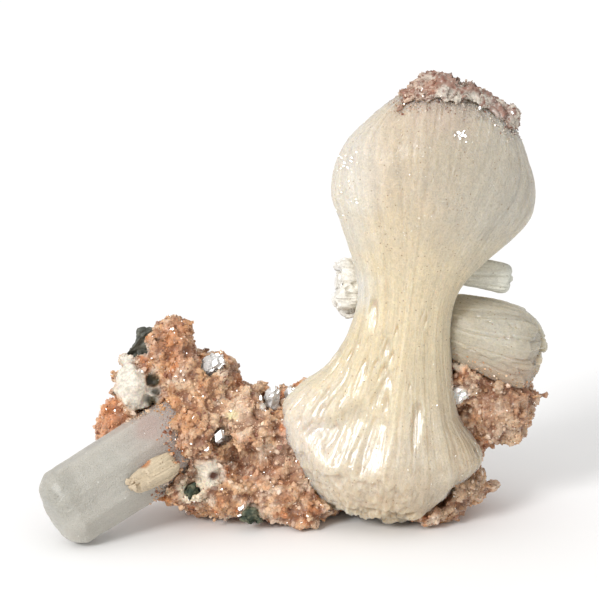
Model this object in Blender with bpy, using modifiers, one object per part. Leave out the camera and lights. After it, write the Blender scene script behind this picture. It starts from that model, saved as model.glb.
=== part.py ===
"""A stilbite specimen: a bow-tie sheaf of cream crystals standing in an orange, drusy matrix.

Metres, +Z up. X runs to the right and Y to the back. The origin is on the flat underside of the matrix,
and the specimen stands on that face. Every crystal that grew as a body of its own is one object, and the
small crystals of the druse are joined to the matrix that they grew from.
"""

import math
import random

import bmesh
import bpy
import numpy as np
from mathutils import Matrix, Vector, noise

MM = 0.001
GAP = 0.35 * MM  # clearance between two grown-together pieces
WELD = 0.01 * MM

# The bow-tie sheaf, from its foot to its head
SHEAF_FOOT = Vector((17.0, -6.0, 0.5)) * MM
SHEAF_HEAD = Vector((26.4, -1.0, 89.6)) * MM
SHEAF_OUTLINE = (  # height along the axis, then reach to the left, right, front and back, in mm
    (0.0, 0.0, 0.0, 0.0, 0.0),
    (0.9, 8.0, 4.6, 5.2, 4.6),
    (2.8, 13.2, 8.6, 8.6, 7.6),
    (5.8, 16.2, 11.8, 10.6, 9.2),
    (10.4, 19.0, 15.2, 11.8, 10.4),
    (14.6, 21.4, 18.0, 12.2, 10.4),
    (18.4, 22.9, 16.2, 11.8, 9.8),
    (22.4, 23.1, 12.6, 11.0, 9.2),
    (26.4, 20.0, 11.2, 10.0, 8.4),
    (30.2, 15.6, 10.3, 9.0, 7.6),
    (34.6, 12.8, 9.5, 8.2, 7.0),
    (39.0, 11.2, 8.9, 7.8, 6.8),
    (44.4, 10.4, 8.6, 7.8, 6.8),
    (49.4, 11.2, 9.8, 8.2, 7.4),
    (54.4, 13.2, 13.4, 9.2, 8.6),
    (59.8, 15.6, 18.4, 10.8, 10.2),
    (64.6, 17.8, 21.6, 12.0, 11.4),
    (70.0, 17.9, 21.8, 12.2, 11.6),
    (75.4, 16.1, 19.8, 11.4, 11.2),
    (80.2, 12.4, 17.2, 9.8, 9.8),
    (84.0, 8.6, 14.0, 7.8, 8.0),
    (86.8, 5.2, 9.4, 5.4, 5.6),
    (88.6, 2.6, 4.6, 3.0, 3.0),
    (89.2, 0.0, 0.0, 0.0, 0.0),
)

# Smaller sheaves: where the axis starts and ends, and rows of reach along it (up and down for a level axis)
SIDE_FAN_ROOT = Vector((23.0, 1.6, 40.4)) * MM
SIDE_FAN_TIP = Vector((49.2, 0.0, 33.8)) * MM
SIDE_FAN_OUTLINE = (
    (0.0, 0.0, 0.0, 0.0, 0.0),
    (1.4, 4.4, 4.0, 3.8, 3.8),
    (6.0, 6.8, 6.0, 5.4, 5.2),
    (11.0, 7.7, 7.0, 6.8, 6.4),
    (16.0, 8.0, 7.8, 7.9, 7.4),
    (20.6, 7.4, 8.0, 8.2, 7.6),
    (23.8, 5.6, 6.8, 6.6, 6.2),
    (26.0, 2.6, 4.2, 3.6, 3.6),
    (27.0, 0.0, 0.0, 0.0, 0.0),
)
BLADE_ROOT = Vector((27.0, 2.5, 49.6)) * MM
BLADE_TIP = Vector((41.9, 1.5, 48.6)) * MM
BLADE_OUTLINE = (
    (0.0, 0.0, 0.0, 0.0, 0.0),
    (0.6, 1.6, 1.6, 1.6, 1.6),
    (6.0, 1.9, 1.9, 1.9, 1.9),
    (10.0, 2.4, 2.4, 2.2, 2.2),
    (13.4, 3.0, 2.9, 2.4, 2.4),
    (14.9, 2.3, 2.0, 1.8, 1.8),
    (15.2, 0.0, 0.0, 0.0, 0.0),
)
SPRAY_ROOT = Vector((18.0, 2.5, 46.6)) * MM
SPRAY_TIP = Vector((6.6, 4.5, 46.2)) * MM
SPRAY_OUTLINE = (
    (0.0, 0.0, 0.0, 0.0, 0.0),
    (0.8, 2.6, 2.6, 2.4, 2.4),
    (5.0, 4.4, 4.8, 3.8, 3.8),
    (8.6, 6.0, 6.4, 4.8, 4.8),
    (10.8, 4.2, 4.6, 3.6, 3.6),
    (11.5, 0.0, 0.0, 0.0, 0.0),
)
BUD_ROOT = Vector((-24.6, -11.8, 15.2)) * MM
BUD_TIP = Vector((-33.2, -18.4, 12.0)) * MM
BUD_OUTLINE = (
    (0.0, 0.0, 0.0, 0.0, 0.0),
    (0.7, 2.3, 2.3, 2.1, 2.1),
    (3.0, 3.0, 2.8, 2.6, 2.5),
    (6.4, 2.6, 2.4, 2.3, 2.2),
    (9.4, 2.2, 1.9, 1.8, 1.8),
    (10.8, 1.2, 1.2, 1.1, 1.1),
    (11.3, 0.0, 0.0, 0.0, 0.0),
)

# Each sheaf: root, tip, outline, faces round it, rows along it, petals, seed of its noise
SHEAVES = {
    "main_sheaf": (SHEAF_FOOT, SHEAF_HEAD, SHEAF_OUTLINE, 40, 26, 2.2, 3.0),
    "side_fan": (SIDE_FAN_ROOT, SIDE_FAN_TIP, SIDE_FAN_OUTLINE, 22, 12, 1.6, 21.0),
    "side_blade": (BLADE_ROOT, BLADE_TIP, BLADE_OUTLINE, 12, 8, 1.2, 33.0),
    "left_spray": (SPRAY_ROOT, SPRAY_TIP, SPRAY_OUTLINE, 16, 9, 1.6, 41.0),
    "cream_bud": (BUD_ROOT, BUD_TIP, BUD_OUTLINE, 12, 9, 1.3, 57.0),
}
DOME_SHARE = 0.2  # of the rows, at each end, that close the bundle
PETAL_DEPTH = 0.09  # of the reach, in the creases between the petals
CREASE_WIDTH = 0.16  # in units of the noise
BLADE_RELIEF = 0.035  # of the reach, between neighbouring blades
BLADE_END_STEP = 0.9  # mm between long and short blades

# The thick grey prism that leans out of the matrix at the left
PRISM_ROOT = Vector((-21.8, -2.9, 18.7)) * MM
PRISM_TIP = Vector((-45.6, -18.1, 7.6)) * MM
PRISM_SIDES = 8
PRISM_HALF_WIDTH = 9.0 * MM
PRISM_HALF_DEPTH = 6.6 * MM
PRISM_TAPER = 0.95
PRISM_END_STEPS = ((1.3, 0.92), (1.2, 0.78), (0.7, 0.6))  # mm along the axis, share of the width left
PRISM_BEVEL = 0.6 * MM

# The matrix is a fusion of rounded lumps: centre and reach in X, Y and Z, in mm
MATRIX_LUMPS = {
    "peak": ((-25.4, 1.0, 33.0), (4.9, 6.0, 8.4)),
    "peak_foot": ((-22.5, 1.0, 27.5), (8.0, 8.0, 7.5)),
    "shoulder": ((-18.0, 1.5, 28.0), (6.4, 7.0, 5.6)),
    "pale_knob": ((-32.2, -1.0, 26.6), (4.8, 6.0, 6.4)),
    "orange_lobe": ((-36.6, 0.5, 18.4), (5.2, 6.0, 5.8)),
    "left_body": ((-20.5, 0.5, 19.5), (11.5, 11.0, 10.0)),
    "ridge": ((-10.6, -0.5, 20.2), (7.6, 9.5, 7.4)),
    "saddle": ((-3.0, 1.0, 17.6), (7.4, 9.0, 7.6)),
    "low_left": ((-16.6, -1.0, 8.4), (10.6, 11.0, 8.4)),
    "low_middle": ((-5.6, -1.0, 6.8), (10.4, 11.0, 8.4)),
    "foot_knob": ((1.6, -7.6, 3.0), (4.6, 5.2, 4.2)),
    "foot_bed": ((1.0, 2.0, 2.4), (9.0, 7.5, 5.6)),
    "prism_cover": ((-20.6, -8.2, 19.6), (4.8, 6.2, 7.0)),
    "prism_collar": ((-24.4, -7.6, 8.4), (4.8, 5.4, 5.2)),
    "back_left": ((-4.0, 9.5, 12.0), (17.0, 8.0, 12.0)),
    "back_plate": ((16.0, 10.0, 14.0), (22.0, 7.5, 15.0)),
    "right_lobe": ((40.2, 2.4, 22.8), (7.8, 9.6, 8.2)),
    "right_bridge": ((31.0, 5.5, 16.0), (8.0, 8.5, 12.0)),
    "right_foot": ((31.8, -1.6, 7.8), (6.0, 9.5, 6.0)),
    "fan_seat": ((33.0, -0.6, 29.6), (5.0, 5.8, 5.2)),
    "right_base": ((26.0, 0.5, 3.0), (7.6, 11.0, 5.2)),
}
MATRIX_KNOBS = 48
KNOB_REACH = (1.5, 3.0)  # mm
KNOB_DEPTH = 0.9  # of the lump's reach, from the lump's centre to the knob's
MATRIX_VOXEL = 1.2 * MM
MATRIX_ROUGHNESS = 1.1 * MM
MATRIX_GRAIN = 5.2 * MM  # size of the knobs that the roughness makes
MATRIX_TRIANGLES = 1750
MATRIX_SEED = 5.0
DRUSE_COUNT = 60
DRUSE_RADIUS = (0.9 * MM, 1.7 * MM)
DRUSE_LENGTH = 2.0  # in radii
DRUSE_SINK = 0.15  # in radii, from the face out to the crystal's middle
DRUSE_TILT = 0.35
DRUSE_SIDES = (4, 4, 5, 6)
DRUSE_CAP = (0.35, 0.75)  # share of the radius at the free end
DRUSE_SEED = 11
FLOOR_BLOCK = 200 * MM  # size of the block that trims the underside

# The crust on the sheaf's head: lumps along the crest, centre and reach in mm
CROWN_LUMPS = (
    ((21.4, -3.4, 84.9), (2.6, 4.2, 2.6)),
    ((24.4, -3.4, 86.4), (3.4, 5.4, 3.6)),
    ((27.6, -2.8, 86.7), (3.3, 5.6, 3.3)),
    ((31.0, -2.0, 85.8), (3.0, 5.0, 2.6)),
    ((34.4, -1.8, 84.4), (3.2, 4.8, 2.5)),
    ((37.8, -1.6, 82.6), (3.2, 4.8, 2.6)),
    ((40.2, -1.6, 80.4), (2.0, 4.2, 2.3)),
)
CROWN_KNOBS = 9
CROWN_VOXEL = 0.8 * MM
CROWN_GRAIN = 1.9 * MM
CROWN_ROUGHNESS = 0.5 * MM
CROWN_TRIANGLES = 480
CROWN_SEED = 2.0

# Small pieces set in the matrix
BASALT_CENTRE = Vector((-32.5, 3.4, 33.8)) * MM
BASALT_REACH = Vector((3.8, 3.4, 4.6)) * MM
BASALT_BREAKS = (0.5, 4.0)  # depth of the broken sides as a share of the reach, seed
CELADONITE_BREAKS = (0.35, 9.0)
BREAKS_PER_RADIUS = 1.6
INCLUSIONS = {  # centre and reach in mm
    "celadonite_upper": ((-21.2, -10.6, 8.2), (1.8, 1.6, 2.4)),
    "celadonite_lower": ((-9.6, -10.9, 3.6), (2.3, 1.7, 2.3)),
}
CLEAR_CRYSTALS = {  # root, tip, half width in mm
    "clear_crystal_peak": ((-19.0, -1.5, 30.5), (-14.9, -3.0, 34.6), 1.7),
    "clear_crystal_shoulder": ((-16.0, -7.0, 18.6), (-15.6, -11.8, 20.4), 1.2),
    "clear_crystal_saddle": ((-5.8, -2.0, 23.0), (-5.0, -3.0, 28.4), 1.5),
    "clear_crystal_foot": ((-2.2, 1.0, 22.0), (-1.6, 0.4, 27.4), 1.1),
}
CLEAR_TIP_SHARE = 0.34  # of the crystal's length

# Colour, roughness
STILBITE = ((0.86, 0.81, 0.68), 0.4)
GREY_STILBITE = ((0.66, 0.64, 0.58), 0.55)
DRUSE = ((0.66, 0.40, 0.26), 0.45)
CROWN = ((0.60, 0.42, 0.33), 0.45)
BASALT = ((0.05, 0.055, 0.045), 0.8)
CELADONITE = ((0.10, 0.16, 0.09), 0.7)
CLEAR = ((0.93, 0.93, 0.92), 0.05)


def collection_named(name):
    """A new collection in the scene."""
    made = bpy.data.collections.new(name)
    bpy.context.scene.collection.children.link(made)
    return made


def material_of(name, colour, roughness):
    """A plain Principled material."""
    material = bpy.data.materials.new(name)
    material.use_nodes = True
    shader = material.node_tree.nodes["Principled BSDF"]
    shader.inputs["Base Color"].default_value = (*colour, 1.0)
    shader.inputs["Roughness"].default_value = roughness
    shader.inputs["Metallic"].default_value = 0.0
    return material


def object_of(name, bm, material, collection):
    """An object that takes over the bmesh."""
    mesh = bpy.data.meshes.new(name)
    bm.to_mesh(mesh)
    bm.free()
    mesh.materials.append(material)
    made = bpy.data.objects.new(name, mesh)
    collection.objects.link(made)
    return made


def apply_modifiers(obj):
    """Replaces the object's mesh by its evaluated one."""
    graph = bpy.context.evaluated_depsgraph_get()
    mesh = bpy.data.meshes.new_from_object(obj.evaluated_get(graph))
    obj.modifiers.clear()
    obj.data = mesh


def keep_largest_body(obj):
    """Deletes the crumbs that a cut leaves beside the main body."""
    bm = bmesh.new()
    bm.from_mesh(obj.data)
    unseen = set(bm.verts)
    bodies = []
    while unseen:
        body = set()
        edge_of_body = [unseen.pop()]
        while edge_of_body:
            vert = edge_of_body.pop()
            body.add(vert)
            near = {edge.other_vert(vert) for edge in vert.link_edges} & unseen
            unseen -= near
            edge_of_body.extend(near)
        bodies.append(body)
    bodies.sort(key=len)
    crumbs = [vert for body in bodies[:-1] for vert in body]
    bmesh.ops.delete(bm, geom=crumbs, context="VERTS")
    bmesh.ops.dissolve_degenerate(bm, dist=WELD, edges=bm.edges[:])
    bmesh.ops.triangulate(bm, faces=bm.faces[:])
    bm.to_mesh(obj.data)
    bm.free()


def boolean(obj, other, operation):
    """Cuts or joins the other object, and keeps the result as the object's mesh."""
    modifier = obj.modifiers.new(operation.lower(), "BOOLEAN")
    modifier.operation = operation
    modifier.object = other
    modifier.use_self = operation == "UNION"
    apply_modifiers(obj)


def make_room(obj, *neighbours):
    """Cuts the socket of each neighbour out of the object, a gap wider than the neighbour is."""
    for neighbour in neighbours:
        socket = neighbour.copy()
        socket.data = neighbour.data.copy()
        swell = socket.modifiers.new("gap", "DISPLACE")
        swell.mid_level = 0.0
        swell.strength = GAP
        bpy.context.scene.collection.objects.link(socket)
        apply_modifiers(socket)
        boolean(obj, socket, "DIFFERENCE")
        bpy.data.objects.remove(socket)
    keep_largest_body(obj)


def frame_between(root, tip):
    """The matrix whose origin is the root, with Z to the tip and Y as near to the back as that allows."""
    along = (tip - root).normalized()
    back = Vector((0.0, 1.0, 0.0))
    across = back.cross(along).normalized()
    back = along.cross(across)
    turn = Matrix((across, back, along)).transposed()
    return Matrix.Translation(root) @ turn.to_4x4()


def smooth_row(rows, share):
    """The row at a share of the way through the rows, on a Catmull-Rom curve."""
    last = len(rows) - 1
    place = min(max(share, 0.0) * last, last - 1e-6)
    i = int(place)
    t = place - i
    a, b, c, d = (np.array(rows[min(max(k, 0), last)]) for k in (i - 1, i, i + 1, i + 2))
    curve = 2 * b + (c - a) * t + (2 * a - 5 * b + 4 * c - d) * t**2 + (3 * b - a - 3 * c + d) * t**3
    return np.maximum(curve / 2, 0.0)


def crease(x, y, seed):
    """0 in the middle of a crease and 1 outside it. The creases follow the zero line of a noise."""
    return min(abs(noise.noise(Vector((x, y, seed)))) / CREASE_WIDTH, 1.0)


def sheaf(name, root, tip, outline, segments, rings, petals, seed, material, collection):
    """A bundle of blades that spreads from its waist: a sphere drawn out to the outline, creased between the
    petals, with a flat-faced blade on every other segment and uneven blade ends."""
    bm = bmesh.new()
    bmesh.ops.create_uvsphere(bm, u_segments=segments, v_segments=rings, radius=1.0)
    third = len(outline) // 3
    waist = min(outline[third:-third], key=lambda row: row[1] + row[2])[0]
    widest = [
        max(row[1] + row[2] for row in outline if (row[0] > waist) == above) for above in (False, True)
    ]
    for vert in bm.verts:
        share = 1.0 - math.acos(max(-1.0, min(1.0, vert.co.z))) / math.pi
        turn = math.atan2(vert.co.y, vert.co.x)
        along, left, right, front, back = smooth_row(outline, share)
        spread = min((left + right) / widest[int(along > waist)], 1.0)
        in_dome = share < DOME_SHARE or share > 1.0 - DOME_SHARE
        fibre = (spread if in_dome else 1.0) * petals
        grooved = crease(fibre * math.cos(turn), fibre * math.sin(turn), seed)
        column = round(turn / (2 * math.pi) * segments)
        blade = BLADE_RELIEF if column % 2 else 0.0
        reach = 1.0 - PETAL_DEPTH * (1.0 - grooved) * spread - blade
        uneven = noise.noise(Vector((column * 1.7, share * rings, seed))) * BLADE_END_STEP * in_dome
        x = math.cos(turn) * (right if math.cos(turn) > 0 else left) * reach
        y = math.sin(turn) * (back if math.sin(turn) > 0 else front) * reach
        vert.co = Vector((x, y, along + uneven * spread)) * MM
    bmesh.ops.transform(bm, matrix=frame_between(root, tip), verts=bm.verts)
    bmesh.ops.triangulate(bm, faces=bm.faces[:])
    return object_of(name, bm, material, collection)


def rough(obj, size, depth, seed):
    """Moves the surface in and out by a noise with flat knobs and sharp valleys."""
    bm = bmesh.new()
    bm.from_mesh(obj.data)
    bm.normal_update()
    moves = []
    for vert in bm.verts:
        place = vert.co / size + Vector((seed, 0.0, 0.0))
        near = noise.voronoi(place)[0]
        moves.append(vert.normal * depth * (1.2 - 2.2 * near[0] + 0.8 * (near[1] - near[0])))
    for vert, move in zip(bm.verts, moves):
        vert.co += move
    bm.to_mesh(obj.data)
    bm.free()


def knobs_on(lumps, count, seed):
    """Small round knobs, as centre and reach, spread over the surface of the lumps."""
    draw = random.Random(seed)
    made = []
    for _ in range(count):
        centre, reach = draw.choice(lumps)
        out = Vector([draw.gauss(0.0, 1.0) for _ in range(3)]).normalized()
        place = [middle + KNOB_DEPTH * step * size for middle, step, size in zip(centre, out, reach)]
        made.append((place, [draw.uniform(*KNOB_REACH)] * 3))
    return made


def fused_lumps(name, lumps, knobs, voxel, size, depth, triangles, seed, material, collection):
    """One body of overlapping rounded lumps, roughened and brought down to a few flat faces."""
    bm = bmesh.new()
    for centre, reach in [*lumps, *knobs_on(lumps, knobs, seed)]:
        place = Matrix.Translation(Vector(centre) * MM) @ Matrix.Diagonal((*(Vector(reach) * MM), 1.0))
        bmesh.ops.create_icosphere(bm, subdivisions=3, radius=1.0, matrix=place)
    made = object_of(name, bm, material, collection)
    remesh = made.modifiers.new("fuse", "REMESH")
    remesh.mode = "VOXEL"
    remesh.voxel_size = voxel
    apply_modifiers(made)
    rough(made, size, depth, seed)
    thin = made.modifiers.new("facets", "DECIMATE")
    thin.ratio = triangles / (2.0 * len(made.data.polygons))
    apply_modifiers(made)
    return made


def stub_crystal(bm, place, outward, radius, draw):
    """A short prism with a smaller cap, sunk in the surface."""
    turn = outward.to_track_quat("Z", "Y").to_matrix().to_4x4()
    spin = Matrix.Rotation(draw.uniform(0.0, 2 * math.pi), 4, "Z")
    bmesh.ops.create_cone(
        bm, cap_ends=True, segments=draw.choice(DRUSE_SIDES), radius1=radius,
        radius2=radius * draw.uniform(*DRUSE_CAP), depth=radius * DRUSE_LENGTH,
        matrix=Matrix.Translation(place) @ turn @ spin,
    )


def druse_on(obj, material, collection):
    """Grows stub crystals on the body and joins them to it."""
    draw = random.Random(DRUSE_SEED)
    bm = bmesh.new()
    faces = obj.data.polygons[:]
    weights = [face.area for face in faces]
    for face in draw.choices(faces, weights=weights, k=DRUSE_COUNT):
        tilt = Vector([draw.gauss(0.0, DRUSE_TILT) for _ in range(3)])
        outward = (face.normal + tilt).normalized()
        radius = draw.uniform(*DRUSE_RADIUS)
        stub_crystal(bm, face.center + outward * radius * DRUSE_SINK, outward, radius, draw)
    crystals = object_of("druse", bm, material, collection)
    boolean(obj, crystals, "UNION")
    bpy.data.objects.remove(crystals)
    keep_largest_body(obj)


def cut_flat(obj):
    """Trims the body off at the plane that the specimen stands on."""
    bm = bmesh.new()
    below = Matrix.Translation((0.0, 0.0, -FLOOR_BLOCK / 2))
    bmesh.ops.create_cube(bm, size=FLOOR_BLOCK, matrix=below)
    block = object_of("below_floor", bm, obj.data.materials[0], bpy.context.scene.collection)
    boolean(obj, block, "DIFFERENCE")
    bpy.data.objects.remove(block)
    keep_largest_body(obj)


def grey_prism(name, material, collection):
    """A flattened prism with a stepped, rounded end."""
    length = (PRISM_TIP - PRISM_ROOT).length
    bm = bmesh.new()
    bmesh.ops.create_cone(
        bm, cap_ends=True, segments=PRISM_SIDES, radius1=1.0, radius2=PRISM_TAPER, depth=length
    )
    bmesh.ops.rotate(bm, verts=bm.verts, matrix=Matrix.Rotation(math.pi / PRISM_SIDES, 3, "Z"))
    bmesh.ops.scale(bm, verts=bm.verts, vec=(PRISM_HALF_WIDTH, PRISM_HALF_DEPTH, 1.0))
    bmesh.ops.translate(bm, verts=bm.verts, vec=(0.0, 0.0, length / 2))
    cap = max(bm.faces, key=lambda face: face.calc_center_median().z)
    left = 1.0
    for step, share in PRISM_END_STEPS:
        made = bmesh.ops.extrude_discrete_faces(bm, faces=[cap])["faces"]
        cap = made[0]
        bmesh.ops.scale(bm, verts=cap.verts, vec=(share / left, share / left, 1.0))
        bmesh.ops.translate(bm, verts=cap.verts, vec=(0.0, 0.0, step * MM))
        left = share
    bmesh.ops.transform(bm, matrix=frame_between(PRISM_ROOT, PRISM_TIP), verts=bm.verts)
    made = object_of(name, bm, material, collection)
    bevel = made.modifiers.new("worn_edges", "BEVEL")
    bevel.width = PRISM_BEVEL
    bevel.segments = 2
    bevel.limit_method = "ANGLE"
    apply_modifiers(made)
    return made


def angular_chip(name, centre, reach, breaks, material, collection):
    """A small broken lump: an icosphere pushed in by cells, so that it has flat, uneven sides."""
    depth, seed = breaks
    bm = bmesh.new()
    bmesh.ops.create_icosphere(bm, subdivisions=2, radius=1.0)
    for vert in bm.verts:
        push = noise.cell(vert.co * BREAKS_PER_RADIUS + Vector((seed, seed, seed)))
        vert.co *= 1.0 + depth * (push - 0.5)
    bmesh.ops.scale(bm, verts=bm.verts, vec=reach)
    bmesh.ops.translate(bm, verts=bm.verts, vec=centre)
    return object_of(name, bm, material, collection)


def clear_crystal(name, root, tip, half_width, material, collection):
    """A square prism with a four-sided point."""
    root, tip = Vector(root) * MM, Vector(tip) * MM
    length = (tip - root).length
    shaft = length * (1.0 - CLEAR_TIP_SHARE)
    bm = bmesh.new()
    radius = half_width * MM * math.sqrt(2)
    bmesh.ops.create_cone(bm, cap_ends=True, segments=4, radius1=radius, radius2=radius, depth=shaft)
    bmesh.ops.translate(bm, verts=bm.verts, vec=(0.0, 0.0, shaft / 2))
    cap = max(bm.faces, key=lambda face: face.calc_center_median().z)
    point = bmesh.ops.poke(bm, faces=[cap])["verts"]
    bmesh.ops.translate(bm, verts=point, vec=(0.0, 0.0, length - shaft))
    bmesh.ops.transform(bm, matrix=frame_between(root, tip), verts=bm.verts)
    return object_of(name, bm, material, collection)


def main():
    for obj in list(bpy.data.objects):
        bpy.data.objects.remove(obj)
    group = collection_named("stilbite_specimen")
    cream = material_of("stilbite", *STILBITE)
    grey = material_of("grey_stilbite", *GREY_STILBITE)
    orange = material_of("druse", *DRUSE)
    pink = material_of("crown_druse", *CROWN)
    dark = material_of("basalt", *BASALT)
    green = material_of("celadonite", *CELADONITE)
    clear = material_of("clear_crystal", *CLEAR)

    sheaves = {name: sheaf(name, *facts, cream, group) for name, facts in SHEAVES.items()}
    main_sheaf, side_fan, blade, spray, bud = sheaves.values()
    prism = grey_prism("grey_prism", grey, group)
    basalt = angular_chip("basalt_chip", BASALT_CENTRE, BASALT_REACH, BASALT_BREAKS, dark, group)
    greens = [
        angular_chip(name, Vector(centre) * MM, Vector(reach) * MM, CELADONITE_BREAKS, green, group)
        for name, (centre, reach) in INCLUSIONS.items()
    ]
    clears = [clear_crystal(name, *facts, clear, group) for name, facts in CLEAR_CRYSTALS.items()]
    crown = fused_lumps(
        "crown_druse", CROWN_LUMPS, CROWN_KNOBS, CROWN_VOXEL, CROWN_GRAIN, CROWN_ROUGHNESS,
        CROWN_TRIANGLES, CROWN_SEED, pink, group,
    )
    matrix = fused_lumps(
        "matrix", list(MATRIX_LUMPS.values()), MATRIX_KNOBS, MATRIX_VOXEL, MATRIX_GRAIN, MATRIX_ROUGHNESS,
        MATRIX_TRIANGLES, MATRIX_SEED, orange, group,
    )
    druse_on(matrix, orange, group)
    cut_flat(matrix)

    make_room(side_fan, main_sheaf)
    make_room(blade, main_sheaf, side_fan)
    make_room(spray, main_sheaf)
    make_room(bud, prism)
    make_room(crown, main_sheaf)
    make_room(clears[-1], main_sheaf)
    make_room(matrix, main_sheaf, side_fan, spray, prism, bud, basalt, *greens, *clears)


main()
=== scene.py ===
# %% [markdown]
# # A stilbite specimen
# Stilbite grows in thin cream blades. Where hundreds of blades share one middle, they spread at both ends and
# make a bow-tie, which mineral collectors call a sheaf. This one stands in an orange crust of small crystals,
# with a thick grey prism at the left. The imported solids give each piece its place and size. This file gives
# each piece its fine surface, its finish, and the light that shows them.

# %% Frame
import math

import bmesh
import bpy
import numpy as np
from mathutils import Euler, Matrix, Vector, noise
from mathutils.bvhtree import BVHTree


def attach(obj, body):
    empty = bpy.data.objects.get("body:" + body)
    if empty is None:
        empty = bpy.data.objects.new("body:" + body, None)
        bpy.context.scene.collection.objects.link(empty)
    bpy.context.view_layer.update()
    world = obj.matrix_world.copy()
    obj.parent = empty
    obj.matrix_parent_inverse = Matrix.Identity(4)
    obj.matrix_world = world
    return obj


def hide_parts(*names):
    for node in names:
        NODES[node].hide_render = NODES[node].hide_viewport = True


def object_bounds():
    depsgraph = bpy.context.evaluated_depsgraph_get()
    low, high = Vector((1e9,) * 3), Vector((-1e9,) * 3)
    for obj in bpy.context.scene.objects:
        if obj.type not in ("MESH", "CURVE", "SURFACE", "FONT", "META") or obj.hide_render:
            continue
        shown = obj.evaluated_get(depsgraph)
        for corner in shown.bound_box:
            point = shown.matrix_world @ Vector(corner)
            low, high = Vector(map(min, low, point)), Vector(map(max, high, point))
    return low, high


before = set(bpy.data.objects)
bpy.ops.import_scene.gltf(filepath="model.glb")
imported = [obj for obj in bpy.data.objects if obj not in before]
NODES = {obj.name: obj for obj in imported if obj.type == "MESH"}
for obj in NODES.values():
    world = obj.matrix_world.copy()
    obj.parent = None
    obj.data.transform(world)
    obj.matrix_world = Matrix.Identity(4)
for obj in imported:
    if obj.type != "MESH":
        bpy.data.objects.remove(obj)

MM = 0.001
CAD_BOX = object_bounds()
print("solids:", len(NODES), "box in mm:", [round(value / MM, 1) for corner in CAD_BOX for value in corner])

# %% [markdown]
# ## Camera and key light
# The camera comes first, because some marks on the stone are placed where the photograph shows them. It
# looks from the front and 15 degrees above, with a long lens, and its frame is 120 mm wide at the specimen.
# The pixel of each point of a piece is worked out, which finds the spot that a pixel shows. A face flashes
# where it mirrors the key light to the camera, so its normal lies half way between the two directions.

# %% Camera
PHOTO_WIDTH, PHOTO_HEIGHT = 599, 600
VIEW_WIDTH = 120.0 * MM
CAMERA_RISE = math.radians(15.0)
CAMERA_DISTANCE = 450.0 * MM
CAMERA_AIM = Vector((0.0, 2.8, 44.05)) * MM
FILM_WIDTH = 36.0
NEAREST_SEEN = 10.0 * MM
KEY_TURN = math.radians(-38.0)  # to the left of the camera
KEY_RISE = math.radians(30.0)

to_camera = Vector((0.0, -math.cos(CAMERA_RISE), math.sin(CAMERA_RISE)))
view_up = Vector((0.0, math.sin(CAMERA_RISE), math.cos(CAMERA_RISE)))
to_key = Vector((
    math.sin(KEY_TURN) * math.cos(KEY_RISE), -math.cos(KEY_TURN) * math.cos(KEY_RISE),
    math.sin(KEY_RISE),
))
lens = bpy.data.cameras.new("camera")
lens.sensor_width = FILM_WIDTH
lens.lens = FILM_WIDTH * CAMERA_DISTANCE / VIEW_WIDTH
lens.clip_start = NEAREST_SEEN
camera = bpy.data.objects.new("camera", lens)
camera.location = CAMERA_AIM + to_camera * CAMERA_DISTANCE
camera.rotation_mode = "QUATERNION"
camera.rotation_quaternion = (-to_camera).to_track_quat("-Z", "Y")
bpy.context.scene.collection.objects.link(camera)
bpy.context.scene.camera = camera


def pixels_of(points):
    """The pixels where points in mm are seen, and their distances from the camera."""
    seen = points * MM - np.array(camera.location)
    away = seen @ -np.array(to_camera)
    size = CAMERA_DISTANCE / (VIEW_WIDTH / PHOTO_WIDTH) / away
    across = PHOTO_WIDTH / 2 + seen[:, 0] * size
    down = PHOTO_HEIGHT / 2 - seen @ np.array(view_up) * size
    return np.stack([across, down], axis=1), away


def flash_normal(spot):
    """The normal of a face that mirrors the key light to the camera, at a spot in mm."""
    return ((camera.location - Vector(spot) * MM).normalized() + to_key).normalized()


print("lens in mm:", round(lens.lens, 1), "flash normal at the aim:", flash_normal(CAMERA_AIM / MM))

# %% [markdown]
# ## Nodes
# Materials and Geometry Nodes trees are written as expressions. One class wraps a socket, so that adding or
# multiplying two of them adds a Math node. One method makes any other node.

# %% Sockets and nodes


class Value:
    """What a node gives. Arithmetic on it adds Math nodes."""

    def __init__(self, tree, socket):
        self.tree = tree
        self.socket = socket

    def math(self, operation, *inputs):
        node = self.tree.nodes.new("ShaderNodeMath")
        node.operation = operation
        for slot, value in zip(node.inputs, inputs):
            fill(self.tree, slot, value)
        return Value(self.tree, node.outputs[0])

    def __add__(self, other):
        return self.math("ADD", self, other)

    def __sub__(self, other):
        return self.math("SUBTRACT", self, other)

    def __mul__(self, other):
        return self.math("MULTIPLY", self, other)

    def __rsub__(self, other):
        return self.math("SUBTRACT", other, self)

    __radd__ = __add__
    __rmul__ = __mul__

    def above(self, low, high):
        """0 below low, 1 above high, and a smooth step between them."""
        node = self.tree.nodes.new("ShaderNodeMapRange")
        node.interpolation_type = "SMOOTHSTEP"
        fill(self.tree, node.inputs["Value"], self)
        node.inputs["From Min"].default_value = low
        node.inputs["From Max"].default_value = high
        return Value(self.tree, node.outputs["Result"])

    def below(self, low, high):
        return 1.0 - self.above(low, high)


def fill(tree, slot, value):
    """Links a value to the socket, or sets the socket to it."""
    if isinstance(value, Value):
        tree.links.new(value.socket, slot)
    else:
        slot.default_value = value


class Maker:
    """Adds nodes to one tree."""

    def __init__(self, tree):
        self.tree = tree

    def add(self, kind, settings=None, inputs=None, output=0):
        """A node of that kind. Its settings come first, then its inputs by identifier, name or number."""
        node = self.tree.nodes.new(kind)
        for name, value in (settings or {}).items():
            setattr(node, name, value)
        slots = {slot.identifier: slot for slot in node.inputs}
        for key, value in (inputs or {}).items():
            fill(self.tree, slots[key] if key in slots else node.inputs[key], value)
        return Value(self.tree, node.outputs[output])


def solid(red, green, blue):
    return (red, green, blue, 1.0)


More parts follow.
